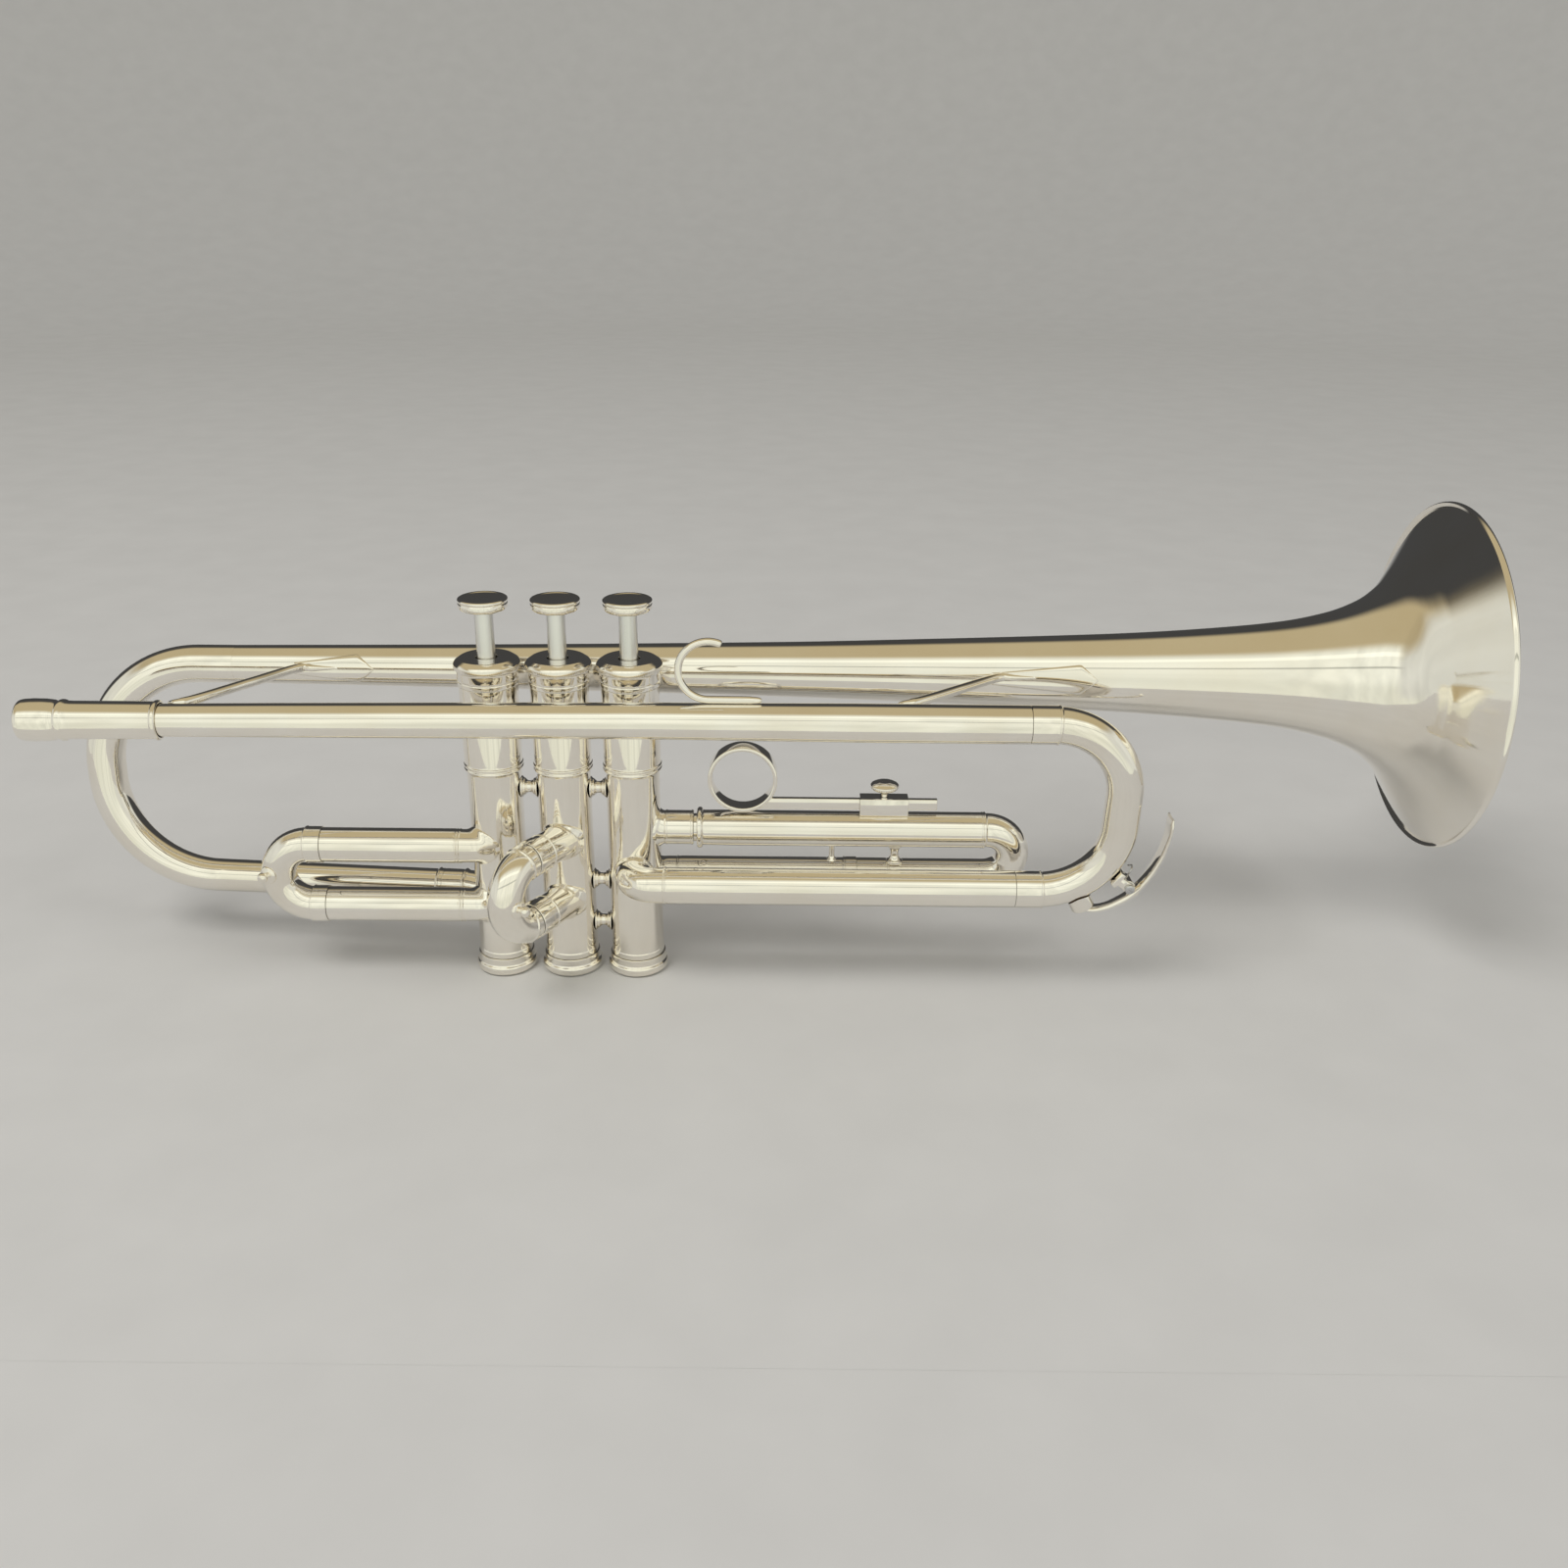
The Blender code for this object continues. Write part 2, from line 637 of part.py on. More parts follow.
def second_crook():
    middle = (SECOND_HIGH + SECOND_LOW) / 2
    bend = (SECOND_HIGH - SECOND_LOW) / 2
    mouth = 0.0282 + GAP
    bow = arc((mouth + 0.0006, middle), bend, math.pi / 2, -math.pi / 2, 8, second_axis)
    points = [second_axis(0.0125, SECOND_HIGH), second_axis(mouth, SECOND_HIGH)] + bow
    points += [second_axis(mouth, SECOND_LOW), second_axis(0.0125, SECOND_LOW)]
    radii = [VALVE_INNER_RADIUS] * 2 + [VALVE_TUBE_RADIUS] * len(bow) + [VALVE_INNER_RADIUS] * 2
    pipe("second_slide_crook", points, radii, WALL, SILVER, sides=SMALL)
    return Vector(second_axis(mouth + 0.0006 + bend, middle))


# ---------------------------------------------------------------- third slide

THIRD_SLEEVE_END = 0.0455
THIRD_RING_X = 0.0467
THIRD_LOWER_MOUTH = 0.1040
THIRD_STOP = 0.1500


def third_sleeve():
    """The fixed inner tube on the third casing, with the short sleeve that the slide closes on."""
    y, z = THIRD_HIGH
    xs = (0.0262 + 0.0065, 0.0440, 0.0445, THIRD_SLEEVE_END, THIRD_SLEEVE_END + 0.0004, 0.1250)
    radii = [0.0059, 0.0059, 0.0062, 0.0062, THIRD_INNER_RADIUS, THIRD_INNER_RADIUS]
    piece = pipe("third_slide_sleeve", [(x, y, z) for x in xs], radii, WALL, SILVER, sides=SMALL)
    saddle(piece, 3, z)


def third_tube():
    """The fixed outer tube on the lower leg."""
    y, z = THIRD_LOW
    xs = (0.0327, 0.0990, 0.0994, THIRD_LOWER_MOUTH)
    radii = [THIRD_LOW_RADIUS, THIRD_LOW_RADIUS, 0.0066, 0.0066]
    piece = pipe("third_slide_tube", [(x, y, z) for x in xs], radii, WALL, SILVER, sides=SMALL)
    saddle(piece, 3, z)
    join(piece, stop_pin((0.0950, y, z + 0.0057)))


def third_crook():
    """The moving outer tube, its end ring, the bow and the lower inner leg."""
    high_y, high_z = THIRD_HIGH
    low_y, low_z = THIRD_LOW
    bend = (high_z - low_z) / 2
    middle = (high_z + low_z) / 2

    def place(x, z):
        share = (high_z - z) / (high_z - low_z)
        return (x, high_y + (low_y - high_y) * share, z)

    bow = arc((THIRD_STOP, middle), bend, math.pi / 2, -math.pi / 2, 8, place)
    xs = (THIRD_RING_X, THIRD_RING_X + 0.0020, THIRD_RING_X + 0.0023, THIRD_STOP - 0.0080)
    points = [(x, high_y, high_z) for x in xs] + bow
    radii = [0.0077, 0.0077] + [THIRD_OUTER_RADIUS] * 2 + [0.0060] * len(bow)
    mouth = THIRD_LOWER_MOUTH + GAP
    points += [(x, low_y, low_z) for x in (mouth + 0.0110, mouth + 0.0105, mouth + 0.0005, mouth, 0.0450)]
    radii += [0.0060, 0.0060, 0.0060, THIRD_INNER_RADIUS, THIRD_INNER_RADIUS]
    piece = pipe("third_slide_crook", points, radii, WALL, SILVER, sides=SMALL)
    join(piece, third_brace())


def third_brace():
    """The spool soldered between the moving legs."""
    x = 0.1176
    sink = 0.0002
    top = THIRD_HIGH[1] - THIRD_OUTER_RADIUS + sink
    bottom = THIRD_LOW[1] + 0.0060 - sink
    height = top - bottom
    y = (THIRD_HIGH[0] + THIRD_LOW[0]) / 2
    profile = [(0.0, height), (0.0028, height), (0.0016, height * 0.72), (0.0016, height * 0.28),
               (0.0028, 0.0), (0.0, 0.0)]
    return turned("third_slide_brace", profile, SMALL, SILVER, origin=(x, y, bottom))


def ring_box():
    """The little box on the slide that the ring's bar passes through."""
    bottom = THIRD_HIGH[1] + THIRD_OUTER_RADIUS + GAP
    mesh = box_mesh("ring_box", (0.1044, -0.0030, bottom), (0.1215, 0.0030, -0.0368))
    piece = add("ring_box", mesh, SILVER)
    half = RING_BAR_HEIGHT / 2 + GAP
    hole = box_mesh("slot", (0.1000, -0.0014, RING_BAR_Z - half), (0.1260, 0.0014, RING_BAR_Z + half))
    change(piece, hole, Matrix.Identity(4), "DIFFERENCE")
    drill(piece, (0.1130, 0, RING_BAR_Z), (0, 0, 1), 0.0014, 0.010)


def finger_ring():
    """The flat bar with its finger ring."""
    half = RING_BAR_HEIGHT / 2
    low = (0.0670, -0.0010, RING_BAR_Z - half)
    bar = add("finger_ring", box_mesh("finger_ring", low, (0.1318, 0.0010, RING_BAR_Z + half)), SILVER)
    centre = (RING_CENTRE[0], 0, RING_CENTRE[1])
    drill(bar, Vector(centre) - Vector((0, 0.006, 0)), (0, 1, 0), RING_RADIUS - 0.0008, 0.012, facets=LARGE)
    band = [(RING_RADIUS, 0.0035), (RING_RADIUS, -0.0035), (RING_RADIUS - 0.0015, -0.0035),
            (RING_RADIUS - 0.0015, 0.0035)]
    ring = turned("ring_band", band, BELL_FACETS, SILVER, origin=centre, direction=(0, 1, 0), hollow=True)
    join(bar, ring)


def thumb_screw():
    """The screw that clamps the ring's bar."""
    top = -0.0310
    seat = RING_BAR_Z + RING_BAR_HEIGHT / 2 + GAP
    profile = [(0.0, top), (0.0035, top - 0.0004), (0.0051, top - 0.0014), (0.0049, top - 0.0024),
               (0.0022, top - 0.0038), (0.0011, top - 0.0044), (0.0011, seat), (0.0, seat)]
    turned("thumb_screw", profile, SMALL, SILVER, origin=(0.1130, 0, 0))


def stop_pin(base):
    """The upright stop pin on the third slide's fixed tube."""
    profile = [(0.0, 0.0060), (0.0008, 0.0060), (0.0008, 0.0014), (0.0018, 0.0007), (0.0018, 0.0),
               (0.0, 0.0)]
    return turned("stop_pin", profile, SMALL, SILVER, origin=base)


# ---------------------------------------------------------------- fittings


def finger_hook():
    """The little-finger hook: a wire foot along the pipe and an open curl above it."""
    radius = 0.0099
    seat = 0.0063 + HOOK_WIRE + GAP
    centre = (0.0526, seat + radius)
    curl = arc(centre, radius, math.radians(-90), math.radians(-295), 12, lambda x, z: (x, LEAD_Y, z))
    points = [(0.0700, LEAD_Y, seat), (0.0600, LEAD_Y, seat)] + curl
    radii = [0.0009] + [HOOK_WIRE] * (len(points) - 2) + [0.0011]
    rod("finger_hook", points, radii, SILVER, sides=8)


def bell_brace(name, lead_x, lead_radius, bell_x, foot_x):
    """A rod from the leadpipe's upper side that lies along the bell's tube at its other end."""
    height = 0.0015
    lift = height - BELL_Z

    def beside(x, clear):
        reach = bell_radius(x) + BRACE_WIRE + clear
        return (x, BELL_Y - math.sqrt(reach * reach - lift * lift), height)

    lead_reach = lead_radius + BRACE_WIRE + GAP
    side = lead_y(lead_x) + lead_reach * math.cos(math.radians(38))
    rise = lead_reach * math.sin(math.radians(38))
    points = [
        (lead_x - 0.0050, side, rise),
        (lead_x, side + 0.0004, rise),
        beside(bell_x, 0.0010),
        beside(bell_x + 0.0060, 2 * GAP),
        beside(foot_x, GAP),
    ]
    rod(name, points, [BRACE_WIRE * 0.8, BRACE_WIRE, BRACE_WIRE, BRACE_WIRE, 0.0010], SILVER, sides=8)


def casing_brace(name, left, height):
    """A waisted spool soldered between two casings."""
    length = VALVE_PITCH - 2 * (LOWER_CASING_RADIUS + GAP)
    profile = [(0.0, length), (0.0036, length), (0.0034, length - 0.0009), (0.0022, length * 0.5),
               (0.0034, 0.0009), (0.0036, 0.0), (0.0, 0.0)]
    turned(name, profile, TINY, SILVER, origin=(valve_x(left) + LOWER_CASING_RADIUS + GAP, 0, height),
           direction=(1, 0, 0))


# ---------------------------------------------------------------- water key


def water_key():
    """The saddle, screw, spring, lever and cork of the water key."""
    corner = Vector((CROOK_OUTER_X - CROOK_BEND, 0, SLIDE_LOW[1] + CROOK_BEND))
    y = SLIDE_LOW[0] - 0.0010
    skin = CROOK_BEND + SLIDE_TUBE_RADIUS + GAP
    pivot = Vector((PIVOT[0], y, PIVOT[1]))
    sideways = Vector((0, 1, 0))

    aim = Vector((pivot.x - corner.x, 0, pivot.z - corner.z)).normalized()
    foot = corner + aim * (skin + 0.0004) + sideways * y
    across = Vector((aim.z, 0, -aim.x))
    tilt = Matrix.Translation(foot) @ Matrix((across, sideways, aim)).transposed().to_4x4()
    mesh = box_mesh("water_key_saddle", (-0.0020, -0.0048, 0.0), (0.0020, 0.0048, 0.0010))
    base = add("water_key_saddle", mesh, SILVER, tilt)
    reach = (pivot - foot).length + 0.0017
    for side in (-0.0042, 0.0042):
        ear = box_mesh("ear", (-0.0015, side - 0.0006, 0.0002), (0.0015, side + 0.0006, reach))
        change(base, ear, tilt, "UNION")
    drill(base, pivot - sideways * 0.008, sideways, 0.0012, 0.016)
    screw = [(0.0, 0.0112), (0.0008, 0.0112), (0.0008, 0.0010), (0.0016, 0.0010), (0.0016, 0.0), (0.0, 0.0)]
    turned("water_key_screw", screw, SMALL, STEEL, origin=pivot - sideways * 0.0061, direction=sideways)
    coil = [(0.0019, 0.0014), (0.0019, 0.0), (0.0012, 0.0), (0.0012, 0.0014)]
    turned("water_key_spring", coil, SMALL, STEEL, origin=pivot - sideways * 0.0033, direction=sideways,
           hollow=True)

    away = Vector((math.cos(CORK_ANGLE), 0, math.sin(CORK_ANGLE)))
    seat = corner + away * (skin + 0.0006) + sideways * y
    turned("water_key_cork", [(0.0, 0.0018), (0.0036, 0.0018), (0.0036, 0.0), (0.0, 0.0)], SMALL, CORK,
           origin=seat, direction=away)
    cup = seat + away * (0.0018 + GAP)
    lever = turned("water_key_lever", [(0.0, 0.0012), (0.0042, 0.0012), (0.0042, 0.0), (0.0, 0.0)], SMALL,
                   SILVER, origin=cup, direction=away)
    strap = ((0.1910, -0.0693), (0.1976, -0.0654), (0.2026, -0.0597), (0.2064, -0.0525), (0.2087, -0.0450),
             (0.2097, -0.0395), (0.2097, -0.0352))
    points = [cup + away * 0.0008] + [(x, y, z) for x, z in strap]
    radii = [0.0009, 0.0010, 0.0012, 0.0012, 0.0011, 0.0010, 0.0010, 0.0009]
    join(lever, rod("lever_arm", points, radii, SILVER, sides=8))
    profile = [(0.0021, 0.0036), (0.0021, 0.0), (0.0012, 0.0), (0.0012, 0.0036)]
    base = pivot - sideways * 0.0012
    boss = turned("lever_boss", profile, SMALL, SILVER, origin=base, direction=sideways, hollow=True)
    mesh = box_mesh("lever_web", (-0.0010, -0.0008, 0.0016), (0.0010, 0.0008, 0.0060))
    web = add("lever_web", mesh, SILVER, frame_along(pivot, (0.62, 0, -0.78)))
    join(lever, boss)
    join(lever, web)


PORTS = {
    1: ((math.radians(215), FIRST_HIGH), (math.radians(215), FIRST_LOW), (math.radians(95), TAIL_LOW_Z)),
    2: ((SECOND_ANGLE, SECOND_HIGH), (SECOND_ANGLE, SECOND_LOW)),
    3: ((0.0, THIRD_HIGH[1]), (math.radians(20), THIRD_LOW[1]), (math.radians(270), SLIDE_LOW[1])),
}

for valve in (1, 2, 3):
    casing(valve, PORTS[valve])
    piston(valve)
    stem(valve)
    button(valve)
    stem_felt(valve)
    top_cap(valve)
    bottom_cap(valve)
    valve_guide(valve)
    valve_spring(valve)

mouthpiece_receiver()
leadpipe()
tuning_slide_crook()
tuning_slide_tube()
bell()
bell_bow()

first_tube("first_slide_upper_tube", FIRST_HIGH)
first_tube("first_slide_lower_tube", FIRST_LOW)
pull_knob("first_slide_knob", first_crook(), (-0.37, -0.93, 0.37 * math.tan(KNOB_TURN)))
second_tube("second_slide_upper_tube", SECOND_HIGH)
second_tube("second_slide_lower_tube", SECOND_LOW)
pull_knob("second_slide_knob", second_crook(), (0.866, -0.5, 0))

third_sleeve()
third_tube()
third_crook()
ring_box()
finger_ring()
thumb_screw()

finger_hook()
bell_brace("rear_bell_brace", -0.1190, 0.0055, -0.0960, -0.0690)
bell_brace("front_bell_brace", 0.1210, 0.0065, 0.1520, 0.1880)
for gap_number, left_valve in (("12", 1), ("23", 2)):
    casing_brace(f"upper_casing_brace_{gap_number}", left_valve, -0.0342)
    casing_brace(f"lower_casing_brace_{gap_number}", left_valve, -0.0869)
casing_brace("middle_casing_brace_23", 2, -0.0701)

water_key()
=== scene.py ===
"""B-flat trumpet: smooth visible pieces, finishes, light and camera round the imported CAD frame."""

import json
from math import copysign, cos, degrees, hypot, pi, radians, sin, tan

import bmesh
import bpy
from mathutils import Matrix, Vector


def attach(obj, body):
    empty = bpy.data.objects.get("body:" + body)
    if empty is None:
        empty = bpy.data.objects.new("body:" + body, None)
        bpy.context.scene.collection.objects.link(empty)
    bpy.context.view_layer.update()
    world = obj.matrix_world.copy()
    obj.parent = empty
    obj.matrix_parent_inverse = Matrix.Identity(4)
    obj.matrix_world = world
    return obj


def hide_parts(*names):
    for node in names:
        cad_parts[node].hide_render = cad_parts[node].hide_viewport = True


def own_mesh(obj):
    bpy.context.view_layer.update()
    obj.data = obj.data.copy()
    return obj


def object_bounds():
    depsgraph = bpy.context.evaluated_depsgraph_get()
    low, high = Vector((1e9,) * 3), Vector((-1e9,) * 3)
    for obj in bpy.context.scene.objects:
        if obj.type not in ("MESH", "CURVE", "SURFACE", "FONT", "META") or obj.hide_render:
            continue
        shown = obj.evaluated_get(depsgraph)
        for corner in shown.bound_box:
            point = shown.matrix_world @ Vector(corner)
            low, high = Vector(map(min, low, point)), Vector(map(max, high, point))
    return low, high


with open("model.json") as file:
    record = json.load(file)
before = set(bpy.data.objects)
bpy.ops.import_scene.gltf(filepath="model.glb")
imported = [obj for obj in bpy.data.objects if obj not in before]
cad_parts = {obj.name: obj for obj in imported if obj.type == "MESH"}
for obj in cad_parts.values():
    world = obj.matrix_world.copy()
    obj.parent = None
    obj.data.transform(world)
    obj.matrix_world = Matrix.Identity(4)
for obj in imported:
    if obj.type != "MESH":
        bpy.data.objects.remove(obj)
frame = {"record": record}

CAD_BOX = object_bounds()

X_AXIS = Vector((1, 0, 0))
Y_AXIS = Vector((0, 1, 0))
Z_AXIS = Vector((0, 0, 1))

# Sizes repeated from the CAD source, in metres
VALVE_PITCH = 0.0243
CASING_RADIUS = 0.00945
LEAD_Y = -0.0246
LEAD_SLOPE = 0.0245
LEAD_KINK_X = 0.0300
LEAD_END = 0.1583
SLIDE_LOW = (-0.0175, -0.0640)
CROOK_BEND = 0.0260
CROOK_OUTER_X = 0.1925
BELL_Y = 0.0279
BELL_Z = 0.0008
BELL_JOINT_X = -0.1200
BELL_RIM_X = 0.3132
BELL_RIM_RADIUS = 0.0620
BOW_OUTER_X = -0.1722
BOW_BEND = 0.0385
TAIL_LOW_Z = -0.0802
TAIL_Y = 0.0200
TAIL_END_Y = 0.0130
THIRD_HIGH = (0.0005, -0.0496)
THIRD_LOW = (0.0035, -0.0690)
THIRD_STOP = 0.1500
FIRST_Y = -0.0070
FIRST_HIGH = -0.0544
FIRST_LOW = -0.0777
FIRST_MOUTH = -0.0852
FIRST_FERRULE = 0.0054
KNOB_TURN = radians(8)
SECOND_HIGH = -0.0515
SECOND_LOW = -0.0751
SECOND_ANGLE = radians(240)
SECOND_OFFSET = 0.0040
RING_BAR_Z = -0.0396
RING_CENTRE = (0.0630, -0.0298)
PIVOT = (0.1972, -0.0605)
CORK_ANGLE = radians(-63)
SCREW_X = 0.1130
ELBOW_BEND = 0.0075
WALL = 0.0005

# Visible seams, solder fillets and cutters
SEAM = 0.0001
FILLET = 0.0026
FILLET_HEIGHT = 0.0011
FILLET_STEP = 0.0004
FILLET_REACH = 0.016
CUTTER_REACH = 0.015


def valve_x(number):
    return (number - 2) * VALVE_PITCH


# ------------ finishes


class Tree:
    """Adds nodes to the node tree of a material or of the world."""

    def __init__(self, owner):
        owner.use_nodes = True
        self.nodes, self.links = owner.node_tree.nodes, owner.node_tree.links

    def feed(self, slot, value):
        """Sets an input to a number, a tuple or another node's output."""
        if isinstance(value, bpy.types.NodeSocket):
            self.links.new(value, slot)
        elif value is not None:
            slot.default_value = value

    def fill(self, node, **values):
        for name, value in values.items():
            self.feed(node.inputs[name.replace("_", " ")], value)
        return node

    def add(self, kind, **values):
        return self.fill(self.nodes.new(kind), **values)

    def noise(self, scale, detail, stretch=None, roughness=0.5):
        """A noise texture in object space, drawn out along an axis when stretch is given."""
        place = self.add("ShaderNodeTexCoord").outputs["Object"]
        if stretch is not None:
            place = self.add("ShaderNodeMapping", Vector=place, Scale=stretch).outputs["Vector"]
        texture = self.add("ShaderNodeTexNoise", Vector=place, Scale=scale, Detail=detail, Roughness=roughness)
        return texture.outputs["Fac"]

    def ramp(self, source, stops):
        """Maps a value to colours through a ramp of (position, colour)."""
        node = self.add("ShaderNodeValToRGB", Fac=source)
        elements = node.color_ramp.elements
        while len(elements) < len(stops):
            elements.new(0.5)
        for element, (position, colour) in zip(elements, stops):
            element.position = position
            element.color = (*colour, 1.0)
        return node.outputs["Color"]

    def spread(self, source, low, high):
        """Rescales the middle range of a noise to low..high."""
        node = self.add("ShaderNodeMapRange", Value=source, From_Min=0.3, From_Max=0.7, To_Min=low, To_Max=high)
        return node.outputs["Result"]

    def bump(self, height, strength, distance):
        return self.add("ShaderNodeBump", Height=height, Strength=strength, Distance=distance).outputs["Normal"]

    def maths(self, operation, first, second=None):
        node = self.add("ShaderNodeMath")
        node.operation = operation
        for slot, value in zip(node.inputs, (first, second)):
            self.feed(slot, value)
        return node.outputs[0]

    def step(self, value, low, high):
        """0 below low, 1 above high, smooth between."""
        node = self.add("ShaderNodeMapRange", Value=value, From_Min=low, From_Max=high)
        node.interpolation_type = "SMOOTHSTEP"
        return node.outputs["Result"]

    def band(self, value, centre, half, edge):
        """1 within half of the centre, falling to 0 over the edge."""
        away = self.maths("ABSOLUTE", self.maths("SUBTRACT", value, centre))
        return self.maths("SUBTRACT", 1.0, self.step(away, half, half + edge))

    def mix(self, share, first, second):
        """Blends two colours by a value."""
        node = self.add("ShaderNodeMix")
        node.data_type = "RGBA"
        self.feed(node.inputs["Factor"], share)
        for slot, value in zip(node.inputs[6:8], (first, second)):
            self.feed(slot, (*value, 1.0) if isinstance(value, tuple) else value)
        return node.outputs[2]

    def scale(self, colour, factor):
        """Multiplies a colour by a value."""
        node = self.add("ShaderNodeVectorMath")
        node.operation = "SCALE"
        self.feed(node.inputs[0], colour)
        return self.fill(node, Scale=factor).outputs["Vector"]


def new_material(name):
    material = bpy.data.materials.new(name)
    tree = Tree(material)
    return material, tree, tree.nodes["Principled BSDF"]


def silver(name, light, warm, rough_low, rough_high):
    """Polished plate: a slow warm drift in colour, faint haze, and a very slight waviness left by buffing."""
    material, tree, shader = new_material(name)
    drift = tree.noise(42.0, detail=4.0)
    haze = tree.noise(160.0, detail=6.0, roughness=0.65)
    wave = tree.noise(75.0, detail=1.0)
    tree.fill(shader, Metallic=1.0, Base_Color=tree.ramp(drift, [(0.32, warm), (0.68, light)]),
              Roughness=tree.spread(haze, rough_low, rough_high), Normal=tree.bump(wave, 0.10, 0.00022))
    return material


def satin(name, colour, dark, stretch, rough_low, rough_high, strength):
    """Turned or drawn metal with fine lines running along one direction."""
    material, tree, shader = new_material(name)
    lines = tree.noise(100.0, detail=5.0, stretch=stretch, roughness=0.6)
    tree.fill(shader, Metallic=1.0, Base_Color=tree.ramp(lines, [(0.3, dark), (0.7, colour)]),
              Roughness=tree.spread(lines, rough_low, rough_high), Normal=tree.bump(lines, strength, 0.00004))
    return material


def soft(name, stops, scale, strength, distance, roughness):
    """A matt, grainy stuff: felt, cork or moulded nylon."""
    material, tree, shader = new_material(name)
    grain = tree.noise(scale, detail=8.0, roughness=0.7)
    tree.fill(shader, Base_Color=tree.ramp(grain, stops), Roughness=roughness,
              Normal=tree.bump(grain, strength, distance))
    return material


SILVER = silver("silver_plate_finish", (0.955, 0.925, 0.865), (0.925, 0.880, 0.795), 0.035, 0.085)
SATIN = satin("satin_nickel_finish", (0.86, 0.86, 0.845), (0.74, 0.74, 0.73), (1.0, 1.0, 0.02), 0.26, 0.36, 0.25)
MONEL = satin("lapped_monel_finish", (0.74, 0.72, 0.69), (0.62, 0.60, 0.57), (0.05, 0.05, 6.0), 0.20, 0.32, 0.25)
STEEL = satin("drawn_steel_finish", (0.68, 0.68, 0.69), (0.50, 0.50, 0.51), (3.0, 3.0, 3.0), 0.20, 0.34, 0.20)
FELT = soft("black_felt_finish", [(0.3, (0.012, 0.012, 0.014)), (0.7, (0.045, 0.045, 0.05))], 1800.0, 0.9, 0.0002,
            0.95)
CORK = soft("cork_finish", [(0.25, (0.16, 0.085, 0.04)), (0.5, (0.42, 0.27, 0.14)), (0.8, (0.55, 0.37, 0.20))], 900.0,
            0.6, 0.00012, 0.85)
NYLON = soft("moulded_nylon_finish", [(0.3, (0.70, 0.70, 0.65)), (0.7, (0.82, 0.82, 0.77))], 500.0, 0.2, 0.00005, 0.45)

BODY_OF = {node: body for body, nodes in frame["record"]["behaviour"]["bodies"].items() for node in nodes}


# ------------ mesh helpers


def soften(outline, reach, closed, steps=4):
    """Rounds the corners of an outline of (radius, distance) with short curves."""
    points = [Vector(p) for p in outline]
    count = len(points)
    out = []
    for i, point in enumerate(points):
        if not closed and i in (0, count - 1):
            out.append(point)
            continue
        back = points[i - 1] - point
        ahead = points[(i + 1) % count] - point
        if back.length < 1e-7 or ahead.length < 1e-7 or pi - back.angle(ahead) < radians(9):
            out.append(point)
            continue
        cut = min(reach, back.length * 0.46, ahead.length * 0.46)
        start = point + back.normalized() * cut
        end = point + ahead.normalized() * cut
        for k in range(steps + 1):
            t = k / steps
            out.append(start * (1 - t) ** 2 + point * 2 * t * (1 - t) + end * t * t)
    return [tuple(p) for p in out]


def skin(rings, loop=False):
    """Joins rings of points into one closed surface; a ring of a single point closes an end."""
    points, faces, first = [], [], []
    for ring in rings:
        first.append(len(points))
        points += ring
    pairs = [(i, i + 1) for i in range(len(rings) - 1)]
    if loop:
        pairs.append((len(rings) - 1, 0))
    for a, b in pairs:
        size_a, size_b = len(rings[a]), len(rings[b])
        size = max(size_a, size_b)
        for i in range(size):
            j = (i + 1) % size
            if size_a == 1 and size_b == 1:
                break
            if size_a == 1:
                faces.append((first[a], first[b] + i, first[b] + j))
            elif size_b == 1:
                faces.append((first[a] + i, first[b], first[a] + j))
            else:
                faces.append((first[a] + i, first[b] + i, first[b] + j, first[a] + j))
    mesh = bpy.data.meshes.new("skin")
    mesh.from_pydata([tuple(p) for p in points], [], faces)
    finish_mesh(mesh)
    return mesh


def finish_mesh(mesh, sharp=35.0):
    """Merges doubled points, turns the faces outwards and shades smooth up to an angle in degrees."""
    cage = bmesh.new()
    cage.from_mesh(mesh)
    bmesh.ops.remove_doubles(cage, verts=cage.verts, dist=1e-7)
    bmesh.ops.recalc_face_normals(cage, faces=cage.faces)
    cage.to_mesh(mesh)
    cage.free()
    mesh.shade_smooth()
    mesh.set_sharp_from_angle(angle=radians(sharp))


def add_object(name, data):
    item = bpy.data.objects.new(name, data)
    bpy.context.scene.collection.objects.link(item)
    return item


def show(mesh, node, look=SILVER):
    """Makes a piece of the mesh, on the body of the CAD node that it stands for."""
    piece = add_object(node + "_visual", mesh)
    mesh.materials.clear()
    mesh.materials.append(look)
    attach(piece, BODY_OF[node])
    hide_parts(node)
    return piece


def across(direction):
    """Two unit vectors square to a direction."""
    aim = Vector(direction).normalized()
    side = Y_AXIS if abs(aim.y) < 0.9 else Z_AXIS
    one = (side - aim * side.dot(aim)).normalized()
    return one, aim.cross(one)


def turned_mesh(outline, origin, direction=Z_AXIS, sides=96, hollow=False, reach=0.0003, knurl=None):
    """A turned solid from an outline of (radius, height); knurl is (low, high, ridges, depth)."""
    aim = Vector(direction).normalized()
    one, two = across(aim)
    origin = Vector(origin)
    if knurl:
        sides = knurl[2] * 4
    rings = []
    for radius, height in soften(outline, reach, hollow):
        centre = origin + aim * height
        if radius < 1e-6:
            rings.append([centre])
            continue
        ring = []
        for i in range(sides):
            turn = 2 * pi * i / sides
            r = radius
            if knurl and knurl[0] < height < knurl[1]:
                r -= knurl[3] * (0.5 + 0.5 * cos(knurl[2] * turn))
            ring.append(centre + one * (r * cos(turn)) + two * (r * sin(turn)))
        rings.append(ring)
    return skin(rings, hollow)


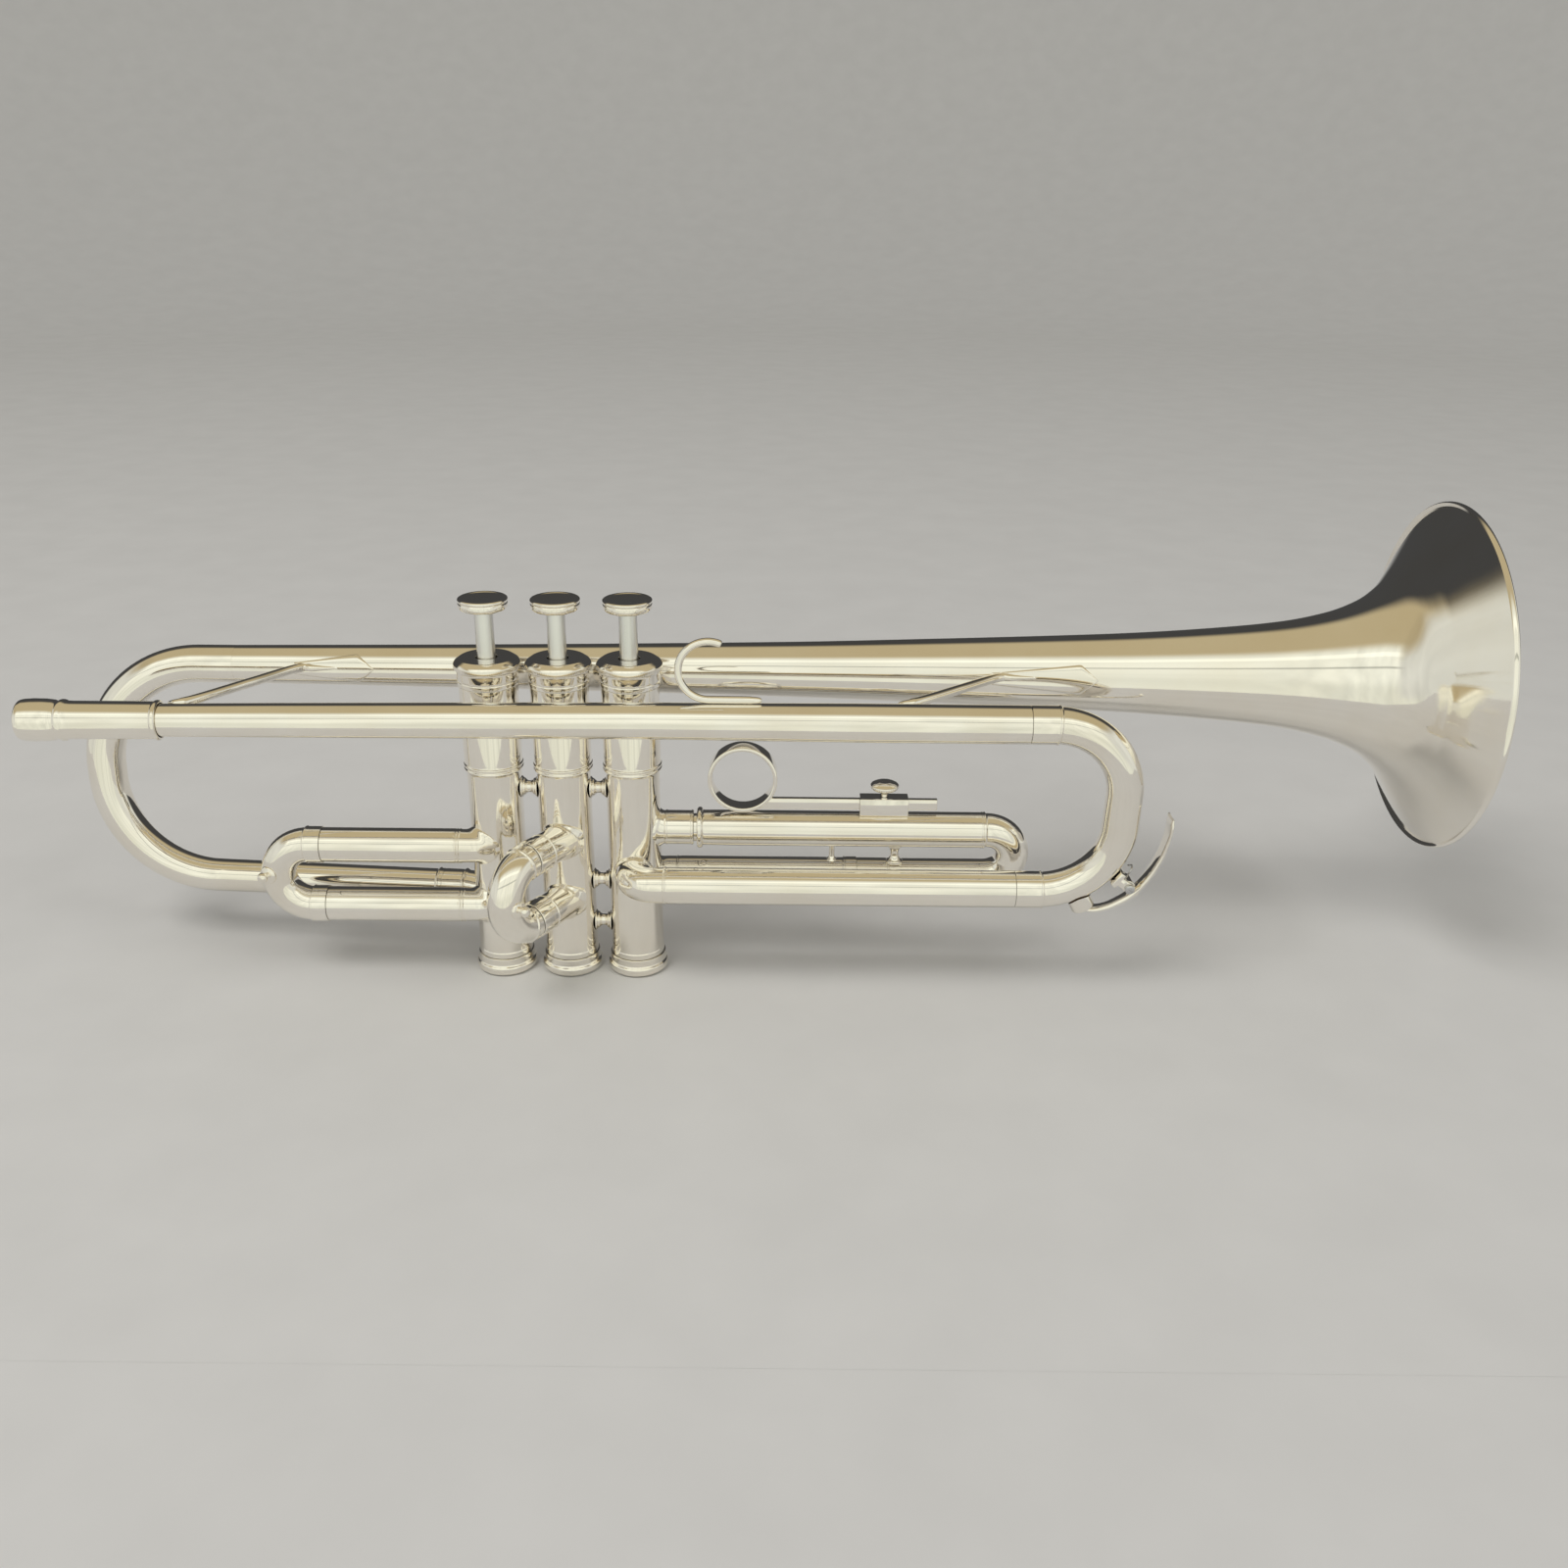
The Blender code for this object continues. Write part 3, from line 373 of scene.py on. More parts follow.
class Track:
    """A path by distance along it."""

    def __init__(self, points):
        self.points = [Vector(points[0])]
        for p in points[1:]:
            if (Vector(p) - self.points[-1]).length > 1e-6:
                self.points.append(Vector(p))
        self.at = [0.0]
        for a, b in zip(self.points, self.points[1:]):
            self.at.append(self.at[-1] + (b - a).length)
        self.length = self.at[-1]
        legs = [(b - a).normalized() for a, b in zip(self.points, self.points[1:])]
        self.aims = [legs[0]] + [(a + b).normalized() for a, b in zip(legs, legs[1:])] + [legs[-1]]
        self.legs = legs

    def place(self, s):
        """The point and the direction at distance s."""
        i = 0
        while i < len(self.legs) - 1 and s > self.at[i + 1]:
            i += 1
        a, b = self.at[i], self.at[i + 1]
        t = min(1.0, max(0.0, (s - a) / (b - a)))
        aim = (self.aims[i] * (1 - t) + self.aims[i + 1] * t).normalized()
        return self.points[i] + self.legs[i] * (s - a), aim

    def find(self, axis, value, last=False):
        """The distance at which the path crosses a value of one coordinate."""
        hits = []
        for i, (a, b) in enumerate(zip(self.points, self.points[1:])):
            low, high = a[axis], b[axis]
            if abs(high - low) > 1e-7 and min(low, high) - 1e-6 <= value <= max(low, high) + 1e-6:
                hits.append(self.at[i] + (value - low) / (high - low) * (self.at[i + 1] - self.at[i]))
        return hits[-1] if last else hits[0]


def tube_mesh(track, outline, sides=64, hollow=True, reach=0.0003, seat=None):
    """Sweeps a round section along a track. The outline lists (radius, distance) along the outer side and, in a
    hollow tube, back along the inner side. seat is a casing's axis x: the start flares into a solder fillet on it."""
    profile = soften(outline, reach, hollow)
    knots = track.at[1:-1]
    if seat is not None:
        knots = sorted(knots + [FILLET_STEP * k for k in range(1, 40)])
    stations = []
    for (r0, s0), (r1, s1) in zip(profile, profile[1:] + (profile[:1] if hollow else [])):
        stations.append((r0, s0))
        between = [s for s in knots if min(s0, s1) + 1e-6 < s < max(s0, s1) - 1e-6]
        if s1 < s0:
            between.reverse()
        stations += [(r0 + (r1 - r0) * (s - s0) / (s1 - s0), s) for s in between]
    if not hollow:
        stations.append(profile[-1])
    frames = {}
    one = None
    for s in sorted({s for _, s in stations}):
        centre, aim = track.place(s)
        if one is None:
            one = across(aim)[0]
        one = (one - aim * one.dot(aim)).normalized()
        frames[s] = (centre, one.copy(), aim.cross(one))
    rings = []
    highest = max(range(len(stations)), key=lambda k: stations[k][1])
    for k, (radius, s) in enumerate(stations):
        centre, side, up = frames[s]
        if radius < 1e-6:
            rings.append([centre])
            continue
        outside = not hollow or k <= highest
        ring = []
        for i in range(sides):
            turn = 2 * pi * i / sides
            u = side * cos(turn) + up * sin(turn)
            r = radius
            if seat is not None and outside and s < FILLET_REACH:
                p = centre + u * r
                away = hypot(p.x - seat, p.y) - CASING_RADIUS
                if away < FILLET:
                    r += FILLET_HEIGHT * (1 - max(0.0, away) / FILLET) ** 2.5
            ring.append(centre + u * r)
        rings.append(ring)
    return skin(rings, hollow)


def mm(*pairs):
    """Turns pairs in millimetres, such as an outline's, into metres."""
    return [(a / 1000, b / 1000) for a, b in pairs]


def rod(radius, length):
    """Outline of a plain solid rod."""
    return [(0, 0), (radius, 0), (radius, length), (0, length)]


def shell(outer):
    """Closes a tube's outer outline with its inner side."""
    return list(outer) + [(r - WALL, s) for r, s in reversed(outer)]


def bead(radius, s, width, height):
    """Outline points of a half-round bead round a tube."""
    return [(radius, s - width / 2), (radius + height * 0.75, s - width * 0.30), (radius + height, s),
            (radius + height * 0.75, s + width * 0.30), (radius, s + width / 2)]


def groove(radius, s, width, depth):
    """Outline points of a half-round groove round a tube."""
    return bead(radius, s, width, -depth)


def arc(centre, radius, start, stop, place, step=3.0):
    """Points of an arc, a step of degrees apart, set in space by place(a, b)."""
    steps = max(2, round(abs(degrees(stop - start)) / step))
    turns = [start + (stop - start) * i / steps for i in range(steps + 1)]
    return [place(centre[0] + radius * cos(t), centre[1] + radius * sin(t)) for t in turns]


def boolean(mesh, cutter, operation="DIFFERENCE", sharp=35.0):
    """The mesh with a Boolean applied, smooth shaded again."""
    host, tool = add_object("host", mesh), add_object("tool", cutter)
    step = host.modifiers.new("cut", "BOOLEAN")
    step.operation = operation
    step.solver = "EXACT"
    step.object = tool
    bpy.context.view_layer.update()
    graph = bpy.context.evaluated_depsgraph_get()
    made = bpy.data.meshes.new_from_object(host.evaluated_get(graph))
    for item in (host, tool):
        bpy.data.objects.remove(item)
    bpy.data.meshes.remove(cutter)
    finish_mesh(made, sharp)
    return made


def interpolate(table, at):
    """A smooth curve through (place, value) pairs that never overshoots them."""
    xs = [p[0] for p in table]
    ys = [p[1] for p in table]
    slopes = [(ys[i + 1] - ys[i]) / (xs[i + 1] - xs[i]) for i in range(len(xs) - 1)]
    tangents = [slopes[0]] + [2 * a * b / (a + b) if a * b > 0 else 0.0 for a, b in zip(slopes, slopes[1:])]
    tangents.append(slopes[-1])
    i = 0
    while i < len(xs) - 2 and at > xs[i + 1]:
        i += 1
    width = xs[i + 1] - xs[i]
    t = (at - xs[i]) / width
    return (ys[i] * (1 + 2 * t) * (1 - t) ** 2 + tangents[i] * width * t * (1 - t) ** 2
            + ys[i + 1] * t * t * (3 - 2 * t) + tangents[i + 1] * width * t * t * (t - 1))


def smooth_path(points, steps=14):
    """A Catmull-Rom curve through the points."""
    points = [Vector(p) for p in points]
    ends = [points[0] * 2 - points[1]] + points + [points[-1] * 2 - points[-2]]
    out = [points[0]]
    for a, b, c, d in zip(ends, ends[1:], ends[2:], ends[3:]):
        for k in range(1, steps + 1):
            t = k / steps
            out.append(0.5 * ((2 * b) + (c - a) * t + (2 * a - 5 * b + 4 * c - d) * t * t
                              + (3 * b - a - 3 * c + d) * t ** 3))
    return out


def valve_tube(number, z, track, outline, sides=64, reach=0.00015):
    """A tube that starts on a valve's casing, at height z."""
    mesh = tube_mesh(track, shell(outline), sides=sides, seat=valve_x(number), reach=reach)
    cutter = rod(CASING_RADIUS - 0.00012, 2 * CUTTER_REACH)
    return boolean(mesh, turned_mesh(cutter, (valve_x(number), 0, z - CUTTER_REACH), sides=160, reach=0))


def rounded_box(low, high, reach=0.0003, steps=3, matrix=None):
    """A box with rounded edges."""
    mesh = bpy.data.meshes.new("box")
    cage = bmesh.new()
    bmesh.ops.create_cube(cage, size=1.0)
    size = Vector(high) - Vector(low)
    centre = (Vector(high) + Vector(low)) / 2
    for corner in cage.verts:
        corner.co = centre + Vector(corner.co[i] * size[i] for i in range(3))
    bmesh.ops.bevel(cage, geom=cage.edges[:], offset=reach, segments=steps, affect="EDGES", profile=0.5)
    if matrix is not None:
        bmesh.ops.transform(cage, matrix=matrix, verts=cage.verts)
    cage.to_mesh(mesh)
    cage.free()
    finish_mesh(mesh)
    return mesh


# ------------ valves

PORTS = ((-0.0390, 0.0), (-0.0560, radians(60)), (-0.0730, radians(120)))
SPRING_LOW, SPRING_HIGH = -0.0219, 0.0040
SPRING_TURNS, SPRING_RADIUS, SPRING_WIRE, COIL_STEPS = 6.5, 0.0052, 0.00045, 28
CAP_KNURL = (0.0103, 0.0116, 116, 0.00005)
# each turned part of a valve, with its finish, the form of its mesh and its outline
VALVE_PARTS = (
    ("valve_casing", SILVER, dict(sides=128, hollow=True, reach=0.0002), mm(
        (9.1, 9), (9.1, 4.1), (10.1, 4.1), (10, -23.5), (10, -24.2), (10.35, -24.6), (10.35, -25), (10.05, -25.4),
        (10.05, -25.7), (10.35, -26.1), (10.35, -26.5), (9.6, -27.2), (9.45, -27.6), (9.45, -96.4), (9.65, -96.8),
        (9.65, -98.7), (9.1, -98.8), (9.1, -103), (8.5, -103), (8.5, 9))),
    ("top_cap", SILVER, dict(hollow=True, reach=0.00035, knurl=CAP_KNURL), mm(
        (8.8, 13.7), (9.3, 13.6), (10.8, 12.6), (11.45, 11.7), (11.45, 10.2), (10.6, 9.8), (10.4, 9.2), (10.4, 6.6),
        (10.25, 6.3), (10.25, 6), (10.4, 5.7), (10.4, 4.2), (9.4, 4.2), (9.4, 10.9), (3.7, 10.9), (3.7, 13.7))),
    ("bottom_cap", SILVER, dict(sides=128, hollow=True, reach=0.00035), mm(
        (10.1, -98.8), (10.1, -101.2), (10.3, -101.7), (10.75, -102.1), (10.95, -102.7), (10.95, -104.2),
        (10.4, -105), (9.8, -105.2), (7.2, -105.2), (6.8, -104.7), (3, -104.7), (2.6, -105.2), (2, -105.2),
        (2, -103.4), (9.4, -103.4), (9.4, -98.8))),
    ("finger_button", SILVER, {}, mm(
        (0, 34), (6.8, 34.15), (7.4, 34.4), (7.9, 34.5), (8.35, 34.2), (8.45, 33.8), (8.35, 33.4), (8.1, 33.1),
        (8.3, 32.8), (8.4, 32.2), (8.3, 31.4), (7.8, 30.7), (7, 30.3), (4.5, 30.2), (4, 30.2), (2.4, 30.2),
        (2.4, 32.6), (0, 32.6))),
    ("valve_stem", SATIN, dict(sides=64), mm(
        (0, 32.2), (2, 32.2), (2, 29.9), (3.15, 29.9), (3.15, 8.4), (3.8, 7.5), (7.8, 7.5), (7.8, 4.3), (0, 4.3))),
    ("stem_felt", FELT, dict(sides=64, hollow=True, reach=0.0004),
     mm((6.6, 10.5), (6.6, 7.8), (3.6, 7.8), (3.6, 10.5))),
)

for number in (1, 2, 3):
    x = valve_x(number)
    axis = (x, 0, 0)
    for part, look, form, outline in VALVE_PARTS:
        show(turned_mesh(outline, axis, **form), f"{part}_{number}", look)

    # piston: barrel with guide slots, and three ports
    outline = mm(
        (0, -29), (7, -29), (7, 4), (8.1, 4), (8.1, -26.2), (7.9, -26.4), (7.9, -27.6), (8.1, -27.8), (8.1, -84),
        (4.5, -84), (4.5, -81), (0, -81))
    piston = turned_mesh(outline, axis, reach=0.0002)
    slot = rounded_box((x - 0.012, -0.0019, -0.0258), (x + 0.012, 0.0019, -0.0054), 0.0006)
    piston = boolean(piston, slot)
    for height, bearing in PORTS:
        aim = Vector((cos(bearing), sin(bearing), 0))
        drill = turned_mesh(rod(0.0046, 0.020), Vector((x, 0, height)) - aim * 0.010, aim, sides=48, reach=0)
        piston = boolean(piston, drill)
    show(piston, f"valve_piston_{number}", MONEL)

    hub = turned_mesh(mm((0, -22.2), (6.4, -22.2), (6.4, -25.2), (0, -25.2)), axis, sides=64)
    wings = rounded_box((x - 0.0082, -0.0015, -0.0249), (x + 0.0082, 0.0015, -0.0225), 0.0004)
    show(boolean(hub, wings, "UNION"), f"valve_guide_{number}", NYLON)

    low, high = SPRING_LOW + SPRING_WIRE, SPRING_HIGH - SPRING_WIRE
    steps = int(SPRING_TURNS * COIL_STEPS)
    coil = []
    for i in range(steps + 1):
        share = i / steps
        turn = 2 * pi * SPRING_TURNS * share
        eased = share - 0.045 * sin(2 * pi * share)
        coil.append((x + SPRING_RADIUS * cos(turn), SPRING_RADIUS * sin(turn), low + (high - low) * eased))
    track = Track(coil)
    spring = tube_mesh(track, rod(SPRING_WIRE, track.length), sides=12, hollow=False, reach=0.0001)
    spring = show(spring, f"valve_spring_{number}", STEEL)
    height = SPRING_HIGH - SPRING_LOW
    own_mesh(spring)


# ------------ receiver and leadpipe

RECEIVER_MOUTH = -0.1717
outline = mm(
    (6.1, 0.1), (6.6, 0.6), (6.9, 1.8), (7.1, 5), (7, 9), (6.7, 11.4), (6.4, 12.3), (6.4, 13), (6.8, 13.6),
    (6.9, 14.4), (6.7, 15.1), (6.4, 15.6), (6.3, 17.5), (6.2, 43.7), (6.5, 44), (6.7, 44.6), (6.5, 45.2), (6.1, 45.5),
    (5.7, 45.5), (5.7, 25), (4.6, 24), (4.9, 0.6), (5.3, 0))
outline = [(radius, RECEIVER_MOUTH + s) for radius, s in outline]
receiver = turned_mesh(outline, (0, LEAD_Y - LEAD_SLOPE * LEAD_KINK_X, 0), (1, LEAD_SLOPE, 0), hollow=True,
                       reach=0.0004)
show(receiver, "mouthpiece_receiver")


def lead_y(at):
    """The leadpipe's axis bends at the kink, towards the player."""
    return LEAD_Y + LEAD_SLOPE * min(0.0, at - LEAD_KINK_X)


lead = Track([(s, lead_y(s), 0) for s in (-0.1450, 0.0000, 0.0200, 0.0250, 0.0280, 0.0320, 0.0350, 0.0400, LEAD_END)])
radii = mm((-145, 5.3), (-129, 5.4), (-90, 5.7), (-20, 6), (30, 6.1), (70, 6.3), (100, 6.5), (158.3, 6.5))
outline = [(r, lead.find(0, s)) for s, r in radii]
show(tube_mesh(lead, shell(outline), reach=0.00025), "leadpipe")

# ------------ main tuning slide

HEIGHT = -SLIDE_LOW[1]
CORNER = CROOK_OUTER_X - CROOK_BEND
LEG_LENGTH = 0.055
FERRULE_END = 0.1676
TUNING_TUBE = 0.0065


def slide_place(at, z):
    y = LEAD_Y + (SLIDE_LOW[0] - LEAD_Y) * (-z / HEIGHT)
    return (at, y, z)


step = LEAD_END + SEAM
points = [slide_place(LEAD_END - LEG_LENGTH, 0), slide_place(step, 0)]
points += arc((CORNER, -CROOK_BEND), CROOK_BEND, pi / 2, 0.0, slide_place)
points += arc((CORNER, CROOK_BEND - HEIGHT), CROOK_BEND, 0.0, -pi / 2, slide_place)
points += [slide_place(step, -HEIGHT), slide_place(LEAD_END - LEG_LENGTH, -HEIGHT)]
crook = Track(points)


def slide_leg(sign):
    """Outline of one leg of the tuning slide: inner tube, ferrule, edge bead and bow."""
    start = LEG_LENGTH + SEAM
    ferrule = start + (FERRULE_END - step)
    leg = [(0.0053, 0.0), (0.0053, start), (TUNING_TUBE, start), (TUNING_TUBE, ferrule - 0.0004)]
    leg += bead(TUNING_TUBE, ferrule, 0.0008, 0.00022)[1:4] + [(0.00625, ferrule + 0.0006)]
    return leg if sign > 0 else [(r, crook.length - s) for r, s in reversed(leg)]


show(tube_mesh(crook, shell(slide_leg(1) + slide_leg(-1)), sides=80, reach=0.0002), "tuning_slide_crook")

y, z = SLIDE_LOW
x = valve_x(3)
bend = ELBOW_BEND
points = [(x, -0.0030, z)] + arc((x + bend, y + bend), bend, pi, 1.5 * pi, lambda a, b: (a, b, z), 6)
points += [(LEAD_END, y, z)]
lower = Track(points)
ring_at = lower.find(0, x + 0.0120)
outline = [(0.0059, 0.0), (0.0062, lower.find(0, x + bend))] + bead(0.0064, ring_at, 0.0009, 0.0003)
outline += [(TUNING_TUBE, ring_at + 0.0010), (TUNING_TUBE, lower.length)]
show(valve_tube(3, z, lower, outline, reach=0.0002), "tuning_slide_tube")

# ------------ bell

FLARE = mm(
    (-120, 6.8), (-39, 7.8), (77, 9.9), (134, 11.7), (175, 13.2), (201.5, 14.4), (230, 16.4), (255, 19), (272, 22.5),
    (284, 27.2), (293, 33.8), (300, 42.5), (306.5, 52.2), (311.3, 60.3))
RIM_BEAD = 0.0015


def bell_radius(at):
    """The flare's outer radius."""
    return interpolate(FLARE, at)


stations = [BELL_JOINT_X + 0.004 * i for i in range(92)]
stations = [s for s in stations if s < 0.246] + [0.246 + 0.0014 * i for i in range(40)]
outer = [(bell_radius(s), s) for s in stations] + [(0.0603, 0.3113)]
centre = (BELL_RIM_RADIUS - RIM_BEAD, BELL_RIM_X - RIM_BEAD)
roll = arc(centre, RIM_BEAD, radians(-50), radians(200), lambda a, b: (a, b), 250 / 24)
inner = [(r - 0.0006, s + (0.0003 if r > 0.03 else 0.0)) for r, s in outer]
outline = outer + roll + inner[::-1]
show(turned_mesh(outline, (0, BELL_Y, BELL_Z), X_AXIS, sides=192, hollow=True, reach=0.0), "bell")


def bow_place(at, z):
    """The bell's bow leans from the bell's side to the tail's."""
    return (at, BELL_Y + (TAIL_Y - BELL_Y) * (BELL_Z - z) / (BELL_Z - TAIL_LOW_Z), z)


centre_x = BOW_OUTER_X + BOW_BEND
points = [bow_place(BELL_JOINT_X, BELL_Z)]
points += arc((centre_x, BELL_Z - BOW_BEND), BOW_BEND, pi / 2, pi, bow_place)
points += arc((centre_x, TAIL_LOW_Z + BOW_BEND), BOW_BEND, pi, 1.5 * pi, bow_place)
lean = (TAIL_END_Y - TAIL_Y) / (-0.0395 - centre_x)
points += [(s, TAIL_Y + lean * (s - centre_x), TAIL_LOW_Z) for s in (-0.0510, -0.0395)]
points += [(-0.0365, 0.0124, TAIL_LOW_Z), (-0.0335, 0.0113, TAIL_LOW_Z), (-0.0305, 0.0097, TAIL_LOW_Z),
           (-0.0280, 0.0076, TAIL_LOW_Z), (-0.0262, 0.0050, TAIL_LOW_Z), (-0.0250, 0.0020, TAIL_LOW_Z)]
points.reverse()
bow = Track(points)
cuff, cuff_end = bow.find(0, -0.0400), bow.find(0, -0.0505)
outline = [(0.0054, 0.0), (0.0059, cuff - 0.0008), (0.0060, cuff - 0.0006)]
outline += bead(0.0062, cuff + 0.0004, 0.0010, 0.00035) + [(0.0062, cuff + 0.0014)]
outline += groove(0.0062, cuff_end - 0.0022, 0.0005, 0.00015)
outline += bead(0.0062, cuff_end - 0.0004, 0.0009, 0.0003) + [(0.0060, cuff_end + 0.0004)]
outline += [(0.0061, bow.find(0, -0.1337) - 0.002), (0.0067, bow.length - 0.074), (0.0068, bow.length - 0.045),
            (0.0068, bow.length)]
show(valve_tube(1, TAIL_LOW_Z, bow, outline, sides=80, reach=0.0002), "bell_bow")

# ------------ first slide

for name, z in (("first_slide_upper_tube", FIRST_HIGH), ("first_slide_lower_tube", FIRST_LOW)):
    x = valve_x(1)
    heading = radians(235)
    chord = ELBOW_BEND * radians(5)
    points = [Vector((x, 0, z)), Vector((x + 0.00464 * cos(heading), -0.0038, z))]
    for i in range(1, 12):
        turn = heading - radians(5 * i)
        points.append(points[-1] + Vector((cos(turn), sin(turn), 0)) * chord)
    shift = FIRST_Y - points[-1].y
    points = [p + Vector((0, shift, 0)) for p in points] + [Vector((FIRST_MOUTH, FIRST_Y, z))]
    track = Track(points)
    knuckle = track.find(0, -0.0372)
    outline = [(0.0056, 0.0), (0.0060, knuckle - 0.0014)] + bead(0.0060, knuckle - 0.0006, 0.0007, 0.00025)
    outline += bead(0.0060, knuckle + 0.0004, 0.0007, 0.00025) + [(0.0062, knuckle + 0.0012)]
    outline += [(0.0062, track.length)]
    show(valve_tube(1, z, track, outline), name)


def slide_bow(points, lead_in, ferrule, leg_radius, tube_radius, bow_radius):
    """A small crook: two inner legs, two ferrules with an edge bead, and the bow."""
    track = Track(points)
    leg = [(leg_radius, 0.0), (leg_radius, lead_in), (tube_radius, lead_in), (tube_radius, lead_in + ferrule - 0.0004)]
    leg += bead(tube_radius, lead_in + ferrule, 0.0007, 0.00018)[1:4] + [(bow_radius, lead_in + ferrule + 0.0005)]
    back = [(r, track.length - s) for r, s in reversed(leg)]
    return tube_mesh(track, shell(leg + back), reach=0.00015)


mouth = FIRST_MOUTH - SEAM
turn_x = mouth - FIRST_FERRULE
middle = (FIRST_HIGH + FIRST_LOW) / 2
bend = (FIRST_HIGH - FIRST_LOW) / 2
points = [(-0.0480, FIRST_Y, FIRST_HIGH), (mouth, FIRST_Y, FIRST_HIGH)]
points += arc((turn_x, middle), bend, pi / 2, 1.5 * pi, lambda a, b: (a, FIRST_Y, b), 5)
points += [(mouth, FIRST_Y, FIRST_LOW), (-0.0480, FIRST_Y, FIRST_LOW)]
show(slide_bow(points, -0.0480 - mouth, FIRST_FERRULE, 0.0051, 0.0065, 0.0061), "first_slide_crook")


def pull_knob(node, apex, direction):
    """A pull knob on a small bow's outer side, apex being on the bow's axis."""
    aim = Vector(direction).normalized()
    outline = mm((0, 3.9), (0.9, 3.8), (1.5, 3.4), (1.9, 2.7), (1.9, 2), (1.6, 1.4), (1.2, 0.9), (1.3, 0.6), (2.7, 0.2),
                 (3.2, -0.2), (3.3, -0.8), (3.2, -1.4), (0, -1.4))
    show(turned_mesh(outline, apex + aim * 0.0063, aim, sides=48), node)


knob_seat = Vector((turn_x - bend * cos(KNOB_TURN), FIRST_Y, middle + bend * sin(KNOB_TURN)))
pull_knob("first_slide_knob", knob_seat, (-0.37, -0.93, 0.37 * tan(KNOB_TURN)))

# ------------ second slide


def second_axis(reach, height):
    """A point of the second slide, reach along its legs from the valve."""
    return (SECOND_OFFSET + reach * cos(SECOND_ANGLE), reach * sin(SECOND_ANGLE), height)


for name, z in (("second_slide_upper_tube", SECOND_HIGH), ("second_slide_lower_tube", SECOND_LOW)):
    track = Track([second_axis(r, z) for r in (0.0050, 0.0282)])
    outline = [(0.0060, 0.0), (0.0062, 0.0135)] + bead(0.0062, 0.0150, 0.0008, 0.00025)
    outline += [(0.0062, 0.0176), (0.0065, 0.0179), (0.00655, 0.0230), (0.0064, 0.0232)]
    show(valve_tube(2, z, track, outline), name)

middle = (SECOND_HIGH + SECOND_LOW) / 2
bend = (SECOND_HIGH - SECOND_LOW) / 2
mouth, leg_end = 0.0285, 0.0125
points = [second_axis(leg_end, SECOND_HIGH), second_axis(mouth, SECOND_HIGH)]
points += arc((mouth + 0.0006, middle), bend, pi / 2, -pi / 2, second_axis, 5)
points += [second_axis(mouth, SECOND_LOW), second_axis(leg_end, SECOND_LOW)]
show(slide_bow(points, mouth - leg_end, 0.0030, 0.0051, 0.0064, 0.0062), "second_slide_crook")
pull_knob("second_slide_knob", Vector(second_axis(mouth + 0.0006 + bend, middle)), (0.866, -0.5, 0))

# ------------ third slide

x = valve_x(3)
y, z = THIRD_HIGH
track = Track([(x, y, z), (0.1250, y, z)])
outline = [(0.0057, 0.0), (0.0059, 0.0108)] + bead(0.0061, 0.0116, 0.0008, 0.00018)
outline += [(0.0061, 0.0122), (0.0061, 0.0200)] + bead(0.0061, 0.0206, 0.0008, 0.0002)
outline += [(0.0061, 0.0212), (0.0050, 0.0213), (0.0050, track.length)]
show(valve_tube(3, z, track, outline), "third_slide_sleeve")

y, z = THIRD_LOW
track = Track([(x, y, z), (0.1040, y, z)])
outline = [(0.0058, 0.0), (0.0060, 0.0130)] + bead(0.0060, 0.0150, 0.0008, 0.00025)
outline += [(0.0061, 0.0165), (0.0061, 0.0746)] + bead(0.0063, 0.0752, 0.0008, 0.00022)
outline += [(0.0064, 0.0760), (0.0064, track.length)]
tube = valve_tube(3, z, track, outline)
outline = mm((0, 6), (0.8, 6), (1, 5.7), (1, 1.6), (1.4, 0.9), (2.2, 0), (0, 0))
pin = turned_mesh(outline, (0.0950, y, z + 0.0058), sides=32)
show(boolean(tube, pin, "UNION"), "third_slide_tube")

high_y, high_z = THIRD_HIGH
low_y, low_z = THIRD_LOW
bend = (high_z - low_z) / 2
middle = (high_z + low_z) / 2


def third_place(at, height):
    """The third slide leans from its high leg's side to its low leg's."""
    return (at, high_y + (low_y - high_y) * (high_z - height) / (high_z - low_z), height)


points = [third_place(0.0467, high_z)] + arc((THIRD_STOP, middle), bend, pi / 2, -pi / 2, third_place, 5)
points += [third_place(0.0450, low_z)]
track = Track(points)
seam = track.find(0, 0.1485)
low_mouth = track.find(0, 0.1040 + SEAM, True)
low_seam = track.find(0, 0.1155, True)
outline = [(0.0066, 0.0), (0.0070, 0.0001), (0.00735, 0.0006), (0.00735, 0.0014), (0.0070, 0.0019), (0.0065, 0.0021),
           (0.0063, 0.0025), (0.0064, 0.0100), (0.0064, seam - 0.0010)]
outline += bead(0.0064, seam - 0.0004, 0.0007, 0.00018) + bead(0.0064, seam + 0.0004, 0.0007, 0.00018)[1:]
outline += [(0.0061, seam + 0.0012), (0.0060, low_seam - 0.0010)] + bead(0.0060, low_seam, 0.0008, 0.0002)
outline += [(0.0061, low_seam + 0.0012), (0.0061, low_mouth), (0.0050, low_mouth + 0.0001), (0.0050, track.length)]
mesh = tube_mesh(track, shell(outline), reach=0.0002)
top = high_z - 0.0064 + 0.0003
bottom = low_z + 0.0060 - 0.0003
height = top - bottom
outline = [(0.0, height), (0.0030, height), (0.0030, height - 0.0009), (0.0022, height - 0.0015),
           (0.0015, height * 0.62), (0.0014, height * 0.5), (0.0015, height * 0.38), (0.0022, 0.0015), (0.0030, 0.0009),
           (0.0030, 0.0), (0.0, 0.0)]
spool = turned_mesh(outline, (0.1176, (high_y + low_y) / 2, bottom), sides=48, reach=0.0004)
show(boolean(mesh, spool, "UNION"), "third_slide_crook")

